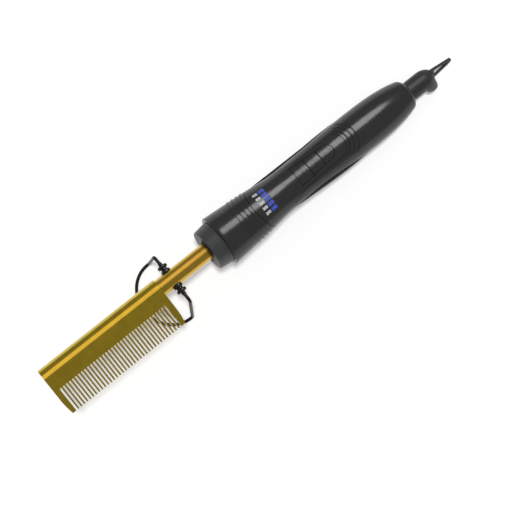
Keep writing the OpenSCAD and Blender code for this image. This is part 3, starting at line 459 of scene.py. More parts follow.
def plating_clouds(tree, at):
    """Clouds in the plating, about 6 mm across."""
    cloud = add(tree, "ShaderNodeTexNoise", {"Vector": at, "Scale": 160.0, "Detail": 2.0})
    tone = add(tree, "ShaderNodeValToRGB", {"Fac": cloud.outputs[0]})
    for stop, (level, code) in zip(tone.color_ramp.elements, ((0.35, "#BFA214"), (0.68, "#CAAE1A"))):
        stop.position, stop.color = level, colour(code)
    return tone.outputs[0]


def heat_tint(tree, at):
    """A faint tint from the heat, towards the comb."""
    tint = add(tree, "ShaderNodeMapRange", {
        "Value": add(tree, "ShaderNodeSeparateXYZ", {"Vector": at}).outputs["X"],
        "From Min": 0.045, "From Max": 0.075})
    tone = add(tree, "ShaderNodeMix", {
        "Factor": tint.outputs[0], 6: colour("#D0A528"), 7: colour("#C6A320")}, data_type="RGBA")
    return tone.outputs[2]


def gloss_abs(name, code, roughness, wave):
    """Injection-moulded ABS: dark, with a sharp highlight that a faint orange peel from the mould
    makes slightly uneven, and a few hairline scratches from handling."""
    material, tree = started(name)
    at = add(tree, "ShaderNodeTexCoord").outputs["Object"]
    # Orange peel is about 1.5 mm from crest to crest
    peel = add(tree, "ShaderNodeTexNoise", {"Vector": at, "Scale": 650.0, "Detail": 1.0})
    # Scratches, drawn 1 mm wide and 6 mm long so that they show
    hair = add(tree, "ShaderNodeMapping", {
        "Vector": at, "Scale": (160, 1100, 500), "Rotation": (0.2, 0.1, 0.5)})
    scratch = add(tree, "ShaderNodeTexNoise", {
        "Vector": hair.outputs[0], "Scale": 1.0, "Detail": 5.0, "Roughness": 0.7})
    rough = add(tree, "ShaderNodeMapRange", {
        "Value": scratch.outputs[0], "From Min": 0.4, "From Max": 0.75,
        "To Min": roughness, "To Max": roughness + 0.06})
    tone = add(tree, "ShaderNodeMapRange", {
        "Value": scratch.outputs[0], "From Min": 0.3, "From Max": 0.8, "To Min": 0.94, "To Max": 1.1})
    shade = add(tree, "ShaderNodeHueSaturation", {"Value": tone.outputs[0], "Color": colour(code)})
    bump = add(tree, "ShaderNodeBump", {
        "Height": peel.outputs[0], "Strength": wave, "Distance": 0.00003})
    return done(material, add(tree, "ShaderNodeBsdfPrincipled", {
        "Base Color": shade.outputs[0], "Roughness": rough.outputs[0], "IOR": 1.54,
        "Specular IOR Level": 0.32, "Normal": bump.outputs[0]}))


def blackened_wire():
    """Steel wire, black oxide and oiled: near black with a soft steel gleam, and small worn spots,
    about 1 mm across."""
    material, tree = started("blackened_wire")
    at = add(tree, "ShaderNodeTexCoord").outputs["Object"]
    wear = add(tree, "ShaderNodeTexNoise", {"Vector": at, "Scale": 900.0, "Detail": 4.0})
    worn = add(tree, "ShaderNodeMapRange", {
        "Value": wear.outputs[0], "From Min": 0.6, "From Max": 0.75})
    tone = add(tree, "ShaderNodeMix", {
        "Factor": worn.outputs[0], 6: colour("#2A2A2B"), 7: colour("#5E5E60")}, data_type="RGBA")
    bump = add(tree, "ShaderNodeBump", {
        "Height": wear.outputs[0], "Strength": 0.15, "Distance": 0.00003})
    return done(material, add(tree, "ShaderNodeBsdfPrincipled", {
        "Base Color": tone.outputs[2], "Metallic": 0.8, "Roughness": 0.38,
        "Normal": bump.outputs[0]}))


def grained(name, scale, detail, tones, relief, surface):
    """One grain runs the colour from tone to tone and makes the relief. A tone is its level in the
    grain and its colour, and a relief is a strength and a depth."""
    material, tree = started(name)
    at = add(tree, "ShaderNodeTexCoord").outputs["Object"]
    grain = add(tree, "ShaderNodeTexNoise", {"Vector": at, "Scale": scale, "Detail": detail})
    tone = add(tree, "ShaderNodeValToRGB", {"Fac": grain.outputs[0]})
    for stop, (level, code) in zip(tone.color_ramp.elements, tones):
        stop.position, stop.color = level, colour(code)
    inputs = {"Base Color": tone.outputs[0], **surface}
    if relief:
        inputs["Normal"] = add(tree, "ShaderNodeBump", {
            "Height": grain.outputs[0], "Strength": relief[0], "Distance": relief[1]}).outputs[0]
    return done(material, add(tree, "ShaderNodeBsdfPrincipled", inputs))


def inner_finish(name, low, high, roughness, grain_mm, ior=None):
    """An inner part's metal or, where it has an IOR, its plastic, ceramic or laminate, with marks
    of a given width."""
    return grained(name, 1000 / grain_mm, 2.0 if ior else 3.0, ((0.3, low), (0.7, high)), (0.2, 0.00003),
                   {"Roughness": roughness, **({"IOR": ior} if ior else {"Metallic": 1.0})})


# Gold-plated die-cast aluminium, satin polished along the comb: warm and slightly olive. Polishing
# lines are about 0.05 mm wide; these are 0.35 mm, so that they show
GOLD = polished_gold("gold_plating", (30, 1400, 1400), 3.0, 0.6, (0.15, 0.22), (0.7, 0.12),
                     plating_clouds)
# Gold-plated drawn steel tube: deeper, more orange and a little duller than the comb, with drawing
# lines, widened to 0.3 mm
TUBE = polished_gold("gold_tube", (12, 1600, 1600), 2.0, 0.5, (0.2, 0.27), (0.8, 0.15), heat_tint)
BLACK_ABS = gloss_abs("black_abs", "#2C2C2C", 0.18, 0.06)
KEY_ABS = gloss_abs("key_abs", "#2A2A2A", 0.19, 0.05)
TAIL_ABS = gloss_abs("tail_abs", "#292929", 0.45, 0.15)
# Glass-filled PBT, heat-proof, of the nose and, paler, of the cord's nub: matt, with pale flecks of
# glass in a fine spark-eroded grain, which is 0.1 mm, drawn at 0.4 mm so that it shows
NOSE_PBT, NUB_PBT = (
    grained(name, 2500.0, 2.0, ((0.3, low), (0.75, high)), (0.35, 0.00004),
            {"Roughness": 0.45, "IOR": 1.58})
    for name, low, high in (("heatproof_pbt", "#2D2E2E", "#3A3B3B"), ("grey_pbt", "#484949", "#585959")))
# Moulded silicone rubber: black and matt, from the blasted mould, with a grain of 0.3 mm
RUBBER = grained("soft_rubber", 3200.0, 2.0, ((0, "#101010"), (1, "#1A1A1A")), (0.4, 0.00004),
                 {"Roughness": 0.75, "IOR": 1.43, "Specular IOR Level": 0.3})
WIRE = blackened_wire()
# Glass-filled black nylon of the two spools: black, satin, faintly mottled at 0.5 mm
SPOOL = grained("black_nylon", 2000.0, 2.0, ((0, "#0A0A0A"), (1, "#151515")), (0.25, 0.00003),
                {"Roughness": 0.3, "IOR": 1.53})
# Tinted polycarbonate light pipes with a frosted face: blue, milky inside, hardly shiny, with haze
# of about 1.4 mm
WINDOW_PC = grained("blue_polycarbonate", 700.0, 1.0, ((0.3, "#3A4AB0"), (0.7, "#4E60C4")), None, {
    "Roughness": 0.55, "IOR": 1.58, "Specular IOR Level": 0.25,
    "Subsurface Weight": 0.15, "Subsurface Radius": (0.0005, 0.0006, 0.0012)})
# Pad-printed white ink: flat white, a little thin over the black plastic, in spots of 0.4 mm
INK = grained("white_ink", 2500.0, 2.0, ((0.25, "#DADAD7"), (0.5, "#F2F2F0")), None,
              {"Roughness": 0.5, "IOR": 1.5})

# ---- Comb and stem ----


def comb_blade():
    """A round spine that narrows to a row of teeth, all one casting."""
    reach = math.hypot(COMB_REACH, TOOTH_TIP)
    flank = math.degrees(math.asin(SPINE_R / reach) - math.atan(TOOTH_TIP / COMB_REACH))
    tip = [(COMB_REACH - 0.3, TOOTH_TIP), (COMB_REACH - 0.08, 0.47), (COMB_REACH, 0.2)]
    spine = [(SPINE_R * math.sin(math.radians(a)), SPINE_R * math.cos(math.radians(a)))
             for a in even(flank, -180 - flank, 72)]
    section = tip[::-1] + spine + [(y, -z) for y, z in tip]
    blade = prism("comb_head", [Vector((-COMB_REAR, y, z)) for y, z in section],
                  Vector((COMB_REAR - COMB_TIP, 0, 0)))
    # One slot cutter, repeated along the comb
    slot = block("slot", FIRST_SLOT, FIRST_SLOT + SLOT_W, SLOT_ROOT, COMB_REACH + 1, -9, 9)
    apply(slot, "ARRAY", count=SLOTS, use_relative_offset=False, use_constant_offset=True,
          constant_offset_displace=((FIRST_SLOT - LAST_SLOT) / (SLOTS - 1), 0, 0))
    start = SLOT_ROOT + (COMB_REACH - SLOT_ROOT) / 3
    sweeps = []
    for s, way in ((COMB_TIP, 1), (COMB_REAR, -1)):
        curve = [Vector((-s - way * END_SWEEP * t * t, start + (COMB_REACH + 0.5 - start) * t, -20))
                 for t in even(0, 1, 10)]
        rest = [Vector((-s + way * 20, y, -20)) for y in (COMB_REACH + 0.5, start)]
        sweeps.append(prism("sweep", curve + rest, Vector((0, 0, 40))))
    bore = spun("bore", [(COMB_TIP - 1, 0), (COMB_TIP - 1, HEATER_BORE), (STEM_FRONT, HEATER_BORE),
                         (STEM_FRONT, STEM_R + 0.05), (COMB_REAR + 1, STEM_R + 0.05),
                         (COMB_REAR + 1, 0)], steps=64)
    cut(blade, slot, *sweeps, bore)
    soften(blade, 0.14, angle=40, weighted=True)
    place(blade, "handle", "gold_comb", GOLD, "comb_blade")


def spine_end_plug():
    """The plug that closes the spine, with a shallow turned dish in its face."""
    rear = COMB_TIP + 3
    plug = spun("end_plug", [
        (COMB_TIP + 0.55, 0), (COMB_TIP + 0.5, 1.2), (COMB_TIP + 0.3, 3.2), (COMB_TIP + 0.3, 3.95),
        (COMB_TIP + 0.5, 4.15), (rear, 4.15), (rear, 0)], steps=64)
    soften(plug, 0.08)
    place(plug, "handle", "gold_stem", TUBE, "spine_end_plug")


def stem_tube():
    """The drawn tube that carries the comb."""
    tube = drum("stem", STEM_FRONT, STEM_REAR, STEM_R, STEM_BORE, steps=96)
    # Holes for the shanks of the two spools
    cut(tube, drum("hole", -8, 8, SHANK_R + 0.05, foot=SPOOL_AT, way=ACROSS, steps=48))
    soften(tube, 0.1, weighted=True)
    place(tube, "handle", "gold_stem", TUBE, "stem_tube")


# ---- Stand ----


def pivot_bush(name, side):
    """A spool riveted into the stem: a saddled foot, a neck, and an outer flange with the pocket in
    which the wire's peg turns from stop to stop."""
    out = ACROSS * side
    profile = [(SHANK_IN, 1.05), (SHANK_IN, SHANK_R), (STEM_BORE, SHANK_R), (STEM_BORE, 2.9), (6.2, 2.9),
               (6.4, 2.8), (6.5, 2.6), (6.55, 2.15), (6.8, 1.95), (7.6, 1.95), (7.85, 2.1), (7.9, 2.6),
               (8.05, 2.95), (8.4, 3.1), (9.2, 3.1), (9.55, 2.95), (BUSH_END, 2.6), (BUSH_END, 1.05)]
    spool = spun("spool" + name[10:], profile, foot=SPOOL_AT, way=out, steps=48)
    # The stem's outside, less the shank, shapes the foot
    saddle = drum("saddle", -30, -22, STEM_R + 0.05, steps=96)
    cut(saddle, drum("shank", 0, 12, SHANK_R, foot=SPOOL_AT, way=out, steps=48))
    # The pocket leaves the peg room to turn from its stop at rest to its stop when folded
    room = math.degrees(math.asin((PEG_R + 0.05) / WIRE_R))
    start = math.radians(room) - pitch
    pocket = drum("pocket", BUSH_END - POCKET_DEPTH, BUSH_END + 1, PEG_OUT + 0.05, foot=SPOOL_AT,
                  way=out, side=Vector((math.cos(start), 0, math.sin(start))), steps=24,
                  turn=side * (STAND_SWING + 2 * room))
    cut(spool, saddle, pocket)
    soften(spool, 0.06, angle=40)
    place(spool, "handle", "soft_black", SPOOL, name)


def stand_wire():
    """A wire bent to two legs and a round foot, with its pins, collars and stop pegs."""
    # The centre line of one side, from the pivot down to the foot, in the table's directions
    start, top = Vector((0, BUSH_END + 1.1, 0)), Vector((0, LEG_HALF, 0))
    ankle = Vector((LEG_LEAN, FOOT_HALF, -LEG_DROP))
    toe = Vector((LEG_LEAN + 2 * ANKLE_BEND, FOOT_HALF, -LEG_DROP))

    def corner(a, b, c, r):
        u, v = (a - b).normalized(), (c - b).normalized()
        turn = u.angle(v)
        centre = b + (u + v).normalized() * r / math.sin(turn / 2)
        p = b + u * r / math.tan(turn / 2) - centre
        q = b + v * r / math.tan(turn / 2) - centre
        sweep = math.pi - turn
        return [centre + (p * math.sin((1 - w) * sweep) + q * math.sin(w * sweep)) / math.sin(sweep)
                for w in even(0, 1, 10)]

    leg = [start] + corner(start, top, ankle, TOP_BEND) + corner(top, ankle, toe, ANKLE_BEND)
    foot = [Vector((LEG_LEAN + ANKLE_BEND + x * FOOT_DEPTH, y * FOOT_HALF, -LEG_DROP))
            for x, y in arc((0, 0), 1, 90, -90, 60)]
    path = leg + foot[1:-1] + [Vector((p.x, -p.y, p.z)) for p in reversed(leg)]
    wire = round_bar("stand", path, WIRE_R, 6)
    for side in (1, -1):
        out = ACROSS * side
        pin = spun("pin", [(SHANK_IN, 0), (SHANK_IN, 0.9), (SHANK_IN + 0.1, 1), (BUSH_END + 0.6, 1),
                           (BUSH_END + 0.6, 0)], way=out, steps=32)
        collar = spun("collar", [(10, 0), (10, 1.15), (10.15, 1.3), (11.45, 1.3), (11.6, 1.15),
                                 (11.6, 0)], way=out, steps=32)
        peg = spun("peg", [(0, 0), (0, PEG_R), (PEG_OUT - 0.1, PEG_R), (PEG_OUT, PEG_R - 0.1),
                           (PEG_OUT, 0)], foot=out * (BUSH_END - PEG_R - 0.05),
                   way=Vector((1, 0, 0)), side=UP, steps=24)
        weld(wire, pin, collar, peg)
    soften(wire, 0.04, segments=1, angle=50)
    place(wire, "stand", "black_wire", WIRE, "stand_wire", where=ON_PIVOT)


# ---- Nose and barrel ----


def nose_profile():
    return [(0, 0), (0, NOSE_FRONT_R - 0.6), (0.12, NOSE_FRONT_R - 0.28), (0.6, NOSE_FRONT_R + 0.1),
            (NOSE_LEN, NOSE_REAR_R), (NOSE_LEN, SPIGOT_R), (SPIGOT_END, SPIGOT_R), (SPIGOT_END, 0)]


def seal_bar(gap):
    """The bar across the nose's front, rounded at both ends."""
    bar = block("bar", -1, SEAL_DEPTH - gap, gap - SEAL_HALF, SEAL_HALF - gap, -20, 20)
    return meet(bar, drum("ends", -3, 9, SEAL_END - gap))


def nose_collar():
    """The heat-proof nose, with the slot for its seal across the front."""
    collar = spun("nose", nose_profile())
    # A close bore round the stem, and a wide one behind it for the clamp
    bores = [drum("bore", a, 30, r, steps=64) for a, r in ((-1, STEM_R + 0.4), (5.7, 9.7))]
    cut(collar, seal_bar(0), *bores)
    soften(collar, 0.22, segments=3, weighted=True)
    place(collar, "handle", "nose_grey", NOSE_PBT, "nose_collar")


def stem_seal():
    """The soft bar in the nose's slot, moulded with a low lip round the stem."""
    seal = spun("seal", nose_profile())
    meet(seal, seal_bar(0.05))
    cut(seal, drum("hole", -1, 9, STEM_R + 0.05, steps=96))
    # A ring-shaped groove leaves a lip round the stem
    groove = spun("groove", [(-0.5, 6.1), (0.35, 6.1), (0.35, 6.5), (-0.5, 6.5)], steps=96)
    meet(groove, block("in", -1, 9, 0.8 - SEAL_HALF, SEAL_HALF - 0.8, -11, 11))
    cut(seal, groove)
    soften(seal, 0.15)
    place(seal, "handle", "soft_black", RUBBER, "stem_seal")


def behind_seam(obj, keep_behind):
    """Cut a piece along the slanted seam and keep one side, less half of the joint line."""
    tilt = math.radians(SEAM_TILT)
    ahead = Vector((math.cos(tilt), 0, -math.sin(tilt)))
    way = 1 if keep_behind else -1
    at = Vector((-SEAM, 0, 0)) - ahead * way * SEAM_GAP / 2
    halve(obj, at, ahead * way)


def front_sleeve(form):
    """The flared barrel with a rolled lip and four slanted ribs."""
    rim = skin_r(LIP + LIP_ROUND)
    lip = arc((LIP + LIP_ROUND, rim - LIP_ROUND), LIP_ROUND, 180, 90, 8)
    sleeve = spun("barrel", [
        (LIP, SLEEVE_BORE + 0.3), *lip[:-1], *skin(LIP + LIP_ROUND, SEAM + 8),
        (SEAM + 8, SLEEVE_BORE), (LIP + 0.3, SLEEVE_BORE)])
    behind_seam(sleeve, False)
    soften(sleeve, 0.14, segments=3)
    take_skin(sleeve, form)
    ribs = []
    for i in range(4):
        rib = layer("rib", LIP + 1, SEAM + 4, RIB_HEIGHT, -0.5)
        tilt = math.radians(RIB_TILT + i * RIB_TILT_STEP)
        facing = Vector((math.cos(tilt), 0, -math.sin(tilt)))
        middle = Vector((-(RIB_FIRST + i * RIB_PITCH), 0, 0))
        halve(rib, middle + facing * RIB_W / 2, facing)
        halve(rib, middle - facing * RIB_W / 2, -facing)
        soften(rib, 0.28, segments=3, angle=60, smooth=60)
        ribs.append(rib)
    join(sleeve, *ribs)
    place(sleeve, "handle", "gloss_black", BLACK_ABS, "front_sleeve")


# ---- Casing and controls ----


def both_sides(half):
    """A closed outline from its half widths along the tool."""
    return [(-s, h) for s, h in half] + [(-s, -h) for s, h in reversed(half) if h > 0.001]


def arch(s, half, length, n):
    return [(s + length * math.sin(math.radians(a)), half * math.cos(math.radians(a)))
            for a in even(0, 90, n)]


def stamp(name, outline, z0=0):
    """A cutter of an outline seen from above."""
    return prism(name, [Vector((x, y, z0)) for x, y in outline], Vector((0, 0, 30 - z0)))


def cover_outline(grow):
    """Outline of the cover, grown along the surface: less and less as its edge runs down the side."""
    s1 = COVER_END - COVER_ARCH
    half = []
    for s in even(SEAM - 8, s1, 30):
        h = min(7.5 + 2.8 * math.exp((60 - s) / 7.9), 20)
        half.append((s, h + grow * math.sqrt(max(0.02, 1 - (h / skin_r(s))**2))))
    end = [(s + grow * (s - s1) / COVER_ARCH, h + grow)
           for s, h in arch(s1, half[-1][1] - grow, COVER_ARCH, 24)[1:]]
    return both_sides(half + end[:-1] + [(COVER_END + grow, 0)])


def key_half(s):
    return KEY_FRONT_HALF + (KEY_REAR_HALF - KEY_FRONT_HALF) * (s - KEYPAD) / (
        KEYPAD_END - KEYPAD - KEYPAD_ARCH)


def key_outline(s0, s1, side, end):
    """Outline of one key, or of all three, grown sideways and lengthways."""
    bend = KEYPAD_END - KEYPAD_ARCH
    if s1 <= bend:
        return both_sides([(s0 - end, key_half(s0) + side), (s1 + end, key_half(s1) + side)])
    curve = [(s + end * (s - bend) / KEYPAD_ARCH, h + side)
             for s, h in arch(bend, key_half(bend), KEYPAD_ARCH, 20)]
    return both_sides([(s0 - end, key_half(s0) + side)] + curve[:-1] + [(KEYPAD_END + end, 0)])


def window_cutters(w, gap):
    made = []
    for turn in WINDOW_TURNS:
        cutter = block("window", WINDOW - WINDOW_LEN / 2 - gap, WINDOW + WINDOW_LEN / 2 + gap,
                       -w / 2 - gap, w / 2 + gap, CAVITY_R - 2, 25)
        made.append(turned(cutter, turn))
    return made


def grip_layer(side, grow, raised, sunk, proud=0.0):
    """A lens-shaped layer of the handle's side."""
    turns = even(0, 180, 48)
    stations = [GRIP_FRONT - grow + (GRIP_REAR - GRIP_FRONT + 2 * grow) * a / 180 for a in turns]
    top = [(s, skin_r(s) + raised + proud * math.sin(math.radians(a)))
           for s, a in zip(stations, turns)]
    bottom = [(s, skin_r(s) + sunk) for s in stations]
    ring = spun("grip", top + bottom[::-1])
    lens = both_sides([(s, (GRIP_HALF + grow) * math.sin(math.radians(a)))
                       for s, a in zip(stations, turns)][1:-1])
    ends = [(-stations[0], 0)] + lens[:len(lens) // 2] + [(-stations[-1], 0)] + lens[len(lens) // 2:]
    return meet(ring, prism("lens", [Vector((x, 0, z)) for x, z in ends], ACROSS * side * 30))


def ornament_arc(i):
    """A cutter for a curved, round-bottomed groove behind the cover."""
    apex = COVER_END + 2.4 + i * 2.9
    half = 8.5 + i * 1.15
    r = (half**2 + ARC_RISE**2) / (2 * ARC_RISE)
    reach = math.degrees(math.asin(half / r))
    plan = arc((r - apex, 0), r, 180 - reach, 180 + reach, 48)
    path = [Vector((x, y, math.sqrt(skin_r(-x)**2 - y * y))) for x, y in plan]
    return round_bar("arc", path, ARC_W / 2, 4)


def casing():
    """Both halves of the handle in one, behind the slanted seam."""
    end = arc(END_CENTRE, END_ROUND, 90 - math.degrees(END_LEAN), math.degrees(END_TURN), 14)
    body = spun("casing", [
        (SEAM - 8, CAVITY_R), *skin(SEAM - 8, SKIN_END), *end[1:], (HANDLE_END, TAIL_BORE),
        (BEARING_REAR, TAIL_BORE), (BEARING_REAR, BUSH_SEAT_R), (BEARING, BUSH_SEAT_R),
        (BEARING, RING_ROOM_R), (RING_ROOM, CAVITY_R)])
    behind_seam(body, True)
    # The inner tube that the sleeve slides over
    weld(body, drum("tube", 20, 58, SLEEVE_BORE - 0.1, CAVITY_R))
    for side in (-1, 1):
        cut(body, grip_layer(side, 0.05, 0.5, -GRIP_DEPTH - 0.05))
    return body


def shells(form):
    body = casing()
    upper = halve(copy(body, "casing_top"), UP * SPLIT_GAP, -UP)
    lower = halve(body, -UP * SPLIT_GAP, UP)
    lower.name = "casing_bottom"
    cover = layer("cover", SEAM - 8, COVER_END + 4, 2, -COVER_T - 0.05)
    meet(cover, stamp("plan", cover_outline(SEAM_GAP * 2 / 3)))
    keys = stamp("keys", key_outline(KEYPAD, KEYPAD_END, FLANGE + 0.3, 0.3))
    cut(upper, cover, keys, *window_cutters(PIPE_W, 0.1), *[ornament_arc(i) for i in range(3)])
    for side in (-1, 1):
        # A screw boss, with a recess for the head in the lower shell
        at = Vector((-SHELL_SCREW, side * SHELL_SCREW_HALF, 0))
        hang = {"foot": at, "way": -UP, "side": ACROSS, "steps": 48}
        weld(lower, drum("boss", 0.1, BOSS_LEN, BOSS_R, SCREW_R + 0.05, **hang))
        cut(lower, spun("recess", [
            (0, 0), (0, SCREW_R), (SCREW_HEAD, SCREW_R), (SCREW_HEAD, SCREW_HEAD_R), (20, SCREW_HEAD_R),
            (20, 0)], **hang))
    for shell, node in ((upper, "upper_shell"), (lower, "lower_shell")):
        soften(shell, 0.12, segments=3)
        take_skin(shell, form)
        place(shell, "handle", "gloss_black", BLACK_ABS, node)


def control_cover(form):
    """The arched cover on the handle, with its openings for the keys and windows."""
    cover = layer("key_cover", SEAM - 8, COVER_END + 4, 0, -COVER_T, 1)
    meet(cover, stamp("plan", cover_outline(-SEAM_GAP / 3), z0=SPLIT_GAP))
    behind_seam(cover, True)
    cut(cover, stamp("keys", key_outline(KEYPAD, KEYPAD_END, KEY_SEAM, KEY_SEAM)),
        *window_cutters(WINDOW_W, 0.1),
        *[grip_layer(side, SEAM_GAP, 0.5, -GRIP_DEPTH - 0.05) for side in (-1, 1)])
    soften(cover, 0.12, segments=3)
    take_skin(cover, form)
    place(cover, "handle", "gloss_black", BLACK_ABS, "control_cover")


def groove_path(name, path, w):
    """A cutter for a mark: a flat band along a path, seen from above."""
    left, right = [], []
    for i, p in enumerate(path):
        a, b = path[max(i - 1, 0)], path[min(i + 1, len(path) - 1)]
        run = Vector((b[0] - a[0], b[1] - a[1])).normalized()
        left.append((p[0] - run.y * w / 2, p[1] + run.x * w / 2))
        right.append((p[0] + run.y * w / 2, p[1] - run.x * w / 2))
    return stamp(name, left + right[::-1])


def mark(i, at):
    """Minus, plus or power: fine engraved lines in a key, upright with the comb at the top."""
    half, w = 2.4, 0.5
    if i == 0:
        strokes = [[(at, -half), (at, half)]]
    elif i == 1:
        strokes = [[(at, -half), (at, half)], [(at - half, 0), (at + half, 0)]]
    else:
        strokes = [arc((at, 0), 2.7, 40, 320, 40), [(at + 0.6, 0), (at + 3.3, 0)]]
    made = []
    for path in strokes:
        floor = layer("floor", -at - 6, -at + 6, 2, -0.25, 0.5)
        made.append(meet(floor, groove_path("mark", path, w)))
    return made


def keys(form):
    """Three flush keys, each with a flange under the cover's edge and an engraved mark."""
    for i, name in enumerate(("minus", "plus", "power")):
        s0 = KEYPAD + i * KEY_LEN + (KEY_GAP / 2 if i else 0)
        s1 = KEYPAD + (i + 1) * KEY_LEN - (KEY_GAP / 2 if i < 2 else 0)
        cap = layer("key_" + name, KEYPAD - 2, KEYPAD_END + 2, 0, -KEY_T, 1)
        meet(cap, stamp("plan", key_outline(s0, s1, 0, 0)))
        flange = layer("flange", KEYPAD - 2, KEYPAD_END + 2, -COVER_T - 0.05, -KEY_T, 1)
        meet(flange, stamp("plan", key_outline(s0, s1, FLANGE, FLANGE_END)))
        weld(cap, flange)
        soften(cap, 0.14, segments=3)
        cut(cap, *mark(i, -(s0 + s1) / 2))
        bpy.ops.object.shade_smooth_by_angle(angle=math.radians(30))
        take_skin(cap, form)
        place(cap, name + "_key", "gloss_black", KEY_ABS, name + "_button")


def indicator_windows(form):
    """Five blue windows with their light pipes, joined by a plate inside the casing."""
    plate = drum("windows", WINDOW - 3.05, WINDOW + 3.05, CAVITY_R - 0.05, CAVITY_R - 0.8)
    reach = math.tan(math.radians(36)) * 30
    wedge = [Vector((-60, 0, 0)), Vector((-60, reach, 30)), Vector((-60, -reach, 30))]
    meet(plate, prism("wedge", wedge, Vector((40, 0, 0))))
    s0, s1, foot = WINDOW - 4, WINDOW + 4, CAVITY_R - 0.4
    for w in (PIPE_W, WINDOW_W):
        for cutter in window_cutters(w, 0):
            if w == PIPE_W:
                ring = spun("pipe", [(s0, foot), *skin(s0, s1, -0.6), (s1, foot)])
            else:
                ring = layer("pane", s0, s1, 0, -COVER_T, 1)
            meet(ring, cutter)
            weld(plate, ring)
    soften(plate, 0.1)
    take_skin(plate, form)
    place(plate, "handle", "window_blue", WINDOW_PC, "indicator_windows")


def dial_numbers(form):
    """White numbers printed beside the windows."""
    made = []
    for turn, number in zip(WINDOW_TURNS, (250, 300, 350, 400, 450)):
        leave()
        bpy.ops.object.text_add()
        text = bpy.context.object
        text.data.body = str(number)
        text.data.size, text.data.offset = 2.6, 0.075
        bpy.ops.object.convert(target="MESH")
        wide, high, _ = text.dimensions
        edit(text)
        middle = sum((Vector(corner) for corner in text.bound_box), ORIGIN) / 8
        bpy.ops.transform.translate(value=-middle)
        # Read with the comb on the left, seen from above
        bpy.ops.transform.resize(value=(-NUMBER_LEN / wide, -NUMBER_H / high, 1),
                                 center_override=ORIGIN)
        bpy.ops.transform.translate(value=(-NUMBER, 0, skin_r(NUMBER) + 2))
        leave()
        turned(text, turn)
        apply(text, "SHRINKWRAP", target=form, wrap_method="NEAREST_SURFACEPOINT",
              wrap_mode="ABOVE_SURFACE", offset=0.04)
        apply(text, "SOLIDIFY", thickness=0.07, offset=0)
        edit(text)
        bpy.ops.mesh.normals_make_consistent(inside=False)
        leave()
        made.append(text)
    join(*made)
    made[0].name = "dial_numbers"
    place(made[0], "handle", "ceramic", INK)


def grips():
    for side, name in ((-1, "grip_left"), (1, "grip_right")):
        pad = grip_layer(side, 0, 0, -GRIP_DEPTH, GRIP_PROUD)
        pad.name = "pad" + name[4:]
        soften(pad, 0.14, segments=3)
        place(pad, "handle", "soft_black", RUBBER, name)


# ---- Tail ----

AT_OUTLET = {"foot": Vector((-OUTLET, 0, 0)), "side": Vector((1, 0, 0)), "way": Vector((
    0, -math.sin(math.radians(180 + OUTLET_TURN)), math.cos(math.radians(180 + OUTLET_TURN))))}


def outlet_nub():
    """The rounded nub for the cord, a ring of grey plastic set into the tail."""
    bore = LINING_R + 0.05
    ball = [p for p in arch(OUTLET_REACH, OUTLET_R, OUTLET_R, 24) if p[1] > bore]
    nub = spun("outlet_nub", [(NUB_SEAT, bore), (NUB_SEAT, OUTLET_R), *ball, (LINING_END - 0.25, bore)],
               steps=72, **AT_OUTLET)
    soften(nub, 0.12, segments=3)
    place(nub, "tail", "tail_grey", NUB_PBT)


def tail_swivel():
    """The turning tail: a domed barrel with the seats of the cord's nub and the loop."""
    dome = arch(DOME, SWIVEL_R, DOME_LEN, 24)
    tail = spun("tail_barrel", [
        (RING_SEAT, 0), (RING_SEAT, 3.6), (JOURNAL, 3.6), (JOURNAL, JOURNAL_R), (SWIVEL, JOURNAL_R),
        (SWIVEL, SWIVEL_R - 0.15), (SWIVEL + 0.15, SWIVEL_R),
        *dome[:-1], (DOME + DOME_LEN, 0)], steps=96)
    # The way for the wires, and the seats of the nub and the loop
    cut(tail, drum("way", RING_SEAT - 3, OUTLET, WIRE_WAY_R, steps=48),
        spun("way", [(0, 0), (0, WIRE_WAY_R), (NUB_SEAT, WIRE_WAY_R), (NUB_SEAT, OUTLET_R),
                     (12, OUTLET_R), (12, 0)], steps=64, **AT_OUTLET),
        turned(block("seat", LOOP - 0.1, 200, -LOOP_T / 2 - 0.05, LOOP_T / 2 + 0.05, -4.65, 4.65),
               LOOP_ROLL))
    soften(tail, 0.1, segments=3, weighted=True)
    place(tail, "tail", "tail_grey", TAIL_ABS, "tail_swivel")


def cord_grommet():
    """The soft lining of the cord outlet, with a rounded mouth."""
    seat, end = OUTLET_REACH + 0.35, LINING_END
    lining = spun("outlet_lining", [
        (seat, CORD_BORE), (seat, LINING_R), (end - 0.18, LINING_R), (end - 0.04, 3.4), (end, 3.2),
        (end, 3.05), (end - 0.08, 2.88), (end - 0.28, CORD_BORE)], steps=64, **AT_OUTLET)
    soften(lining, 0.03, segments=1)
    place(lining, "tail", "soft_black", RUBBER, "cord_grommet")


def hanging_loop():
    """A flat loop: a root in the dome and two bars that meet at a rounded end."""
    tip = LOOP_END - LOOP_END_HALF
    slope = (LOOP_ROOT_HALF - LOOP_END_HALF) / (tip - LOOP - LOOP_ROOT_LEN)
    root = LOOP + LOOP_ROOT_LEN
    outer = both_sides([(LOOP, LOOP_ROOT_HALF), (root, LOOP_ROOT_HALF)]
                       + arc((tip, 0), LOOP_END_HALF, 90, 0, 12))
    hole = both_sides([(root + LOOP_BAR, LOOP_ROOT_HALF - slope * LOOP_BAR - LOOP_BAR),
                       (tip - LOOP_BAR, LOOP_END_HALF + slope * LOOP_BAR - LOOP_BAR)])
    loop = prism("loop", [Vector((x, -LOOP_T / 2, z)) for x, z in outer], ACROSS * LOOP_T)
    cut(loop, prism("hole", [Vector((x, -3, z)) for x, z in hole], ACROSS * 6))
    soften(loop, 0.45, segments=4)
    turned(loop, LOOP_ROLL)
    place(loop, "tail", "tail_grey", TAIL_ABS, "hanging_loop")


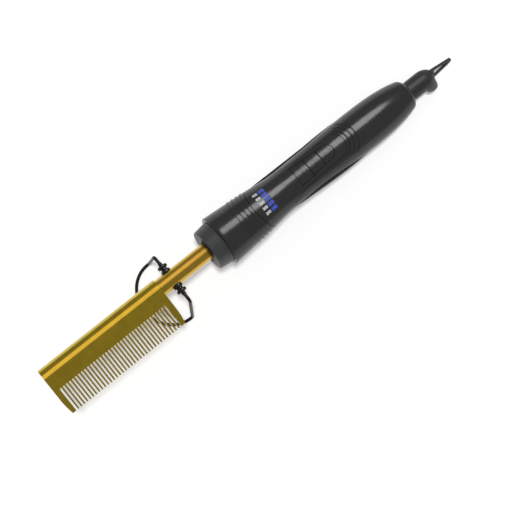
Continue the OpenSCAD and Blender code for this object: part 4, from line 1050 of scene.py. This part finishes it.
form = skin_form()
comb_blade()
spine_end_plug()
stem_tube()
pivot_bush("pivot_bush_left", -1)
pivot_bush("pivot_bush_right", 1)
stand_wire()
nose_collar()
stem_seal()
front_sleeve(form)
shells(form)
control_cover(form)
keys(form)
indicator_windows(form)
dial_numbers(form)
grips()
tail_swivel()
outlet_nub()
cord_grommet()
hanging_loop()
bpy.data.objects.remove(form)

# ---- Inner parts keep their solids and get their materials ----

STEEL = inner_finish("zinc_plated_steel", "#A3A5AA", "#B9BBBF", 0.32, 0.5)
BRASS = inner_finish("turned_brass", "#B08C3A", "#C4A04A", 0.28, 0.4)
COPPER = inner_finish("copper_graphite", "#8A5A3A", "#A8714A", 0.5, 0.3)
SPREADER = inner_finish("extruded_aluminium", "#B0B2B4", "#C8CACC", 0.35, 0.6)
CERAMIC = inner_finish("alumina_ceramic", "#DCD7CA", "#ECE8DC", 0.5, 0.4, 1.76)
NYLON = inner_finish("natural_nylon", "#CFCBBE", "#DEDACE", 0.4, 0.8, 1.53)
SLEEVING = inner_finish("glass_sleeving", "#CFC9B6", "#E0DBCB", 0.7, 0.3, 1.5)
BOARD = inner_finish("solder_masked_laminate", "#1A5C32", "#236F3E", 0.25, 1.5, 1.55)
CHIP = inner_finish("moulded_epoxy", "#141414", "#1E1E1E", 0.45, 0.3, 1.55)

INNER = {
    STEEL: ("stem_ring", "clamp_screws", "shell_screws", "board_screws", "swivel_retainer",
            "sensor_leads"),
    BRASS: ("slip_rings",),
    COPPER: ("brush_contacts",),
    SPREADER: ("heat_spreader_upper", "heat_spreader_lower"),
    CERAMIC: ("heater_plate", "indicator_leds", "fuse"),
    NYLON: ("stem_clamp_upper", "stem_clamp_lower", "minus_plunger", "plus_plunger",
            "power_plunger", "swivel_bush", "temperature_sensor"),
    SLEEVING: ("heater_leads", "supply_leads"),
    BOARD: ("circuit_board", "terminal_blocks"),
    CHIP: ("switch_housings", "microcontroller", "power_triac", "smoothing_capacitor",
           "contact_block"),
}
for material, names in INNER.items():
    for name in names:
        nodes[name].data.materials.clear()
        nodes[name].data.materials.append(material)

# ---- Stage, camera and light ----

# The camera looks down on the tool, with the comb at the lower left
CAM_LEAN, CAM_ROLL, CAM_SKEW, PICTURE_TURN = map(math.radians, (11.3, 7.5, -0.315, 38.61))
CAM_DISTANCE = 684.4
LOOK_STATION, LOOK_OFF = 20.53, -18.95
CAM_ANGLE = 2 * math.atan(255 / 1180)

rear = Vector((-math.cos(CAM_LEAN), math.sin(CAM_LEAN) * math.sin(CAM_ROLL),
               math.cos(CAM_ROLL) * math.sin(CAM_LEAN)))
down = Vector((math.sin(-CAM_SKEW), math.cos(CAM_ROLL), -math.sin(CAM_ROLL)))
down = (down - rear * down.dot(rear)).normalized()
ahead = rear.cross(down)
if ahead.z > 0:
    ahead = -ahead
look_at = Vector((-LOOK_STATION, 0, 0))
eye = look_at - (LOOK_OFF * down + CAM_DISTANCE * ahead)
right = math.cos(PICTURE_TURN) * rear + math.sin(PICTURE_TURN) * down
top = math.sin(PICTURE_TURN) * rear - math.cos(PICTURE_TURN) * down

leave()
bpy.ops.object.camera_add()
camera = bpy.context.object
camera.name = "camera"
camera.data.angle = CAM_ANGLE
camera.data.clip_start = 0.05
aim = Matrix((right, top, -ahead)).transposed().to_4x4()
aim.translation = eye
aim_turn = (REST @ aim).to_quaternion().to_matrix().to_4x4()
camera.matrix_world = Matrix.Translation((ON_TOOL @ aim).translation) @ aim_turn
bpy.context.scene.camera = camera


def card(name, shape, middle, spread, away, size, radiance, tint, lit):
    """A glowing card over the tool that only the reflections of some pieces see. It faces the
    tool's axis from a distance, at an angle from straight up, away from the teeth."""
    leave()
    bpy.ops.object.light_add(type="AREA")
    lamp = bpy.context.object
    lamp.name = name
    lamp.data.shape = shape
    lamp.data.size, lamp.data.size_y = size[0] * MM, size[1] * MM
    area = lamp.data.size * lamp.data.size_y * (math.pi / 4 if shape == "ELLIPSE" else 1)
    lamp.data.energy = radiance * math.pi * area
    lamp.data.color = colour(tint)[:3]
    lamp.visible_diffuse = False
    lamp.visible_camera = False
    lamp.light_linking.receiver_collection = bpy.data.collections.new(name + "_pieces")
    for piece in lit:
        lamp.light_linking.receiver_collection.objects.link(piece)
    lean = math.radians(spread)
    back = Vector((0, -math.sin(lean), math.cos(lean)))
    turn = Matrix((BACK, back.cross(BACK), back)).transposed()
    lamp.matrix_world = (Matrix.Translation(ON_TOOL @ (Vector((middle, 0, 0)) + back * away))
                         @ (REST.to_3x3() @ turn).to_4x4())


# Two cards draw the bright line along the tool: a round one for all that isn't gold, and a
# warmer, dimmer one for the gold
solids = [piece for piece in bpy.data.objects if piece.type == "MESH"]
golden = [piece for piece in solids if piece.data.materials[0] in (GOLD, TUBE)]
others = [piece for piece in solids if piece not in golden]
card("handle_card", "ELLIPSE", -258, 16.8, 450, (288, 250), 8.3, "#FFFFFF", others)
card("comb_card", "RECTANGLE", 125, 14, 450, (430, 350), 1.05, "#FFE6EC", golden)

# The key light from almost straight above, which reflections don't see
leave()
bpy.ops.object.light_add(type="SUN")
key = bpy.context.object
key.name = "key"
key.data.energy = 1.95
key.data.angle = math.radians(8)
key.visible_glossy = False
key.matrix_world = Vector((0.02, -0.058, -0.998)).to_track_quat("-Z", "Y").to_matrix().to_4x4()

# A plain pale room, white behind all
world = bpy.data.worlds.new("room")
bpy.context.scene.world = world
world.use_nodes = True
tree = world.node_tree
tree.nodes.clear()
level = add(tree, "ShaderNodeMix", {
    "Factor": add(tree, "ShaderNodeLightPath").outputs["Is Camera Ray"], "A": 0.3, "B": 1.0},
    data_type="FLOAT")
add(tree, "ShaderNodeOutputWorld", {
    "Surface": add(tree, "ShaderNodeBackground", {
        "Color": (1, 1, 1, 1), "Strength": level.outputs[0]}).outputs[0]})


def floor():
    """A white table top: its own white shows to the eye and in reflections, and it keeps shadows."""
    leave()
    bpy.ops.mesh.primitive_plane_add(size=12)
    top = bpy.context.object
    top.name = "floor"
    material, tree = started("white_table")
    path = add(tree, "ShaderNodeLightPath")
    looked = path.outputs["Is Camera Ray"]
    for ray in ("Is Glossy Ray", "Is Transmission Ray"):
        looked = add(tree, "ShaderNodeMath", {0: looked, 1: path.outputs[ray]},
                     operation="MAXIMUM").outputs[0]
    glow = add(tree, "ShaderNodeMath", {0: looked, 1: 0.31}, operation="MULTIPLY")
    done(material, add(tree, "ShaderNodeBsdfPrincipled", {
        "Base Color": colour("#E8E8E8"), "Roughness": 0.8, "IOR": 1.3,
        "Emission Color": (1, 1, 1, 1), "Emission Strength": glow.outputs[0]}))
    top.data.materials.append(material)


floor()
bpy.context.scene.view_settings.view_transform = "Standard"
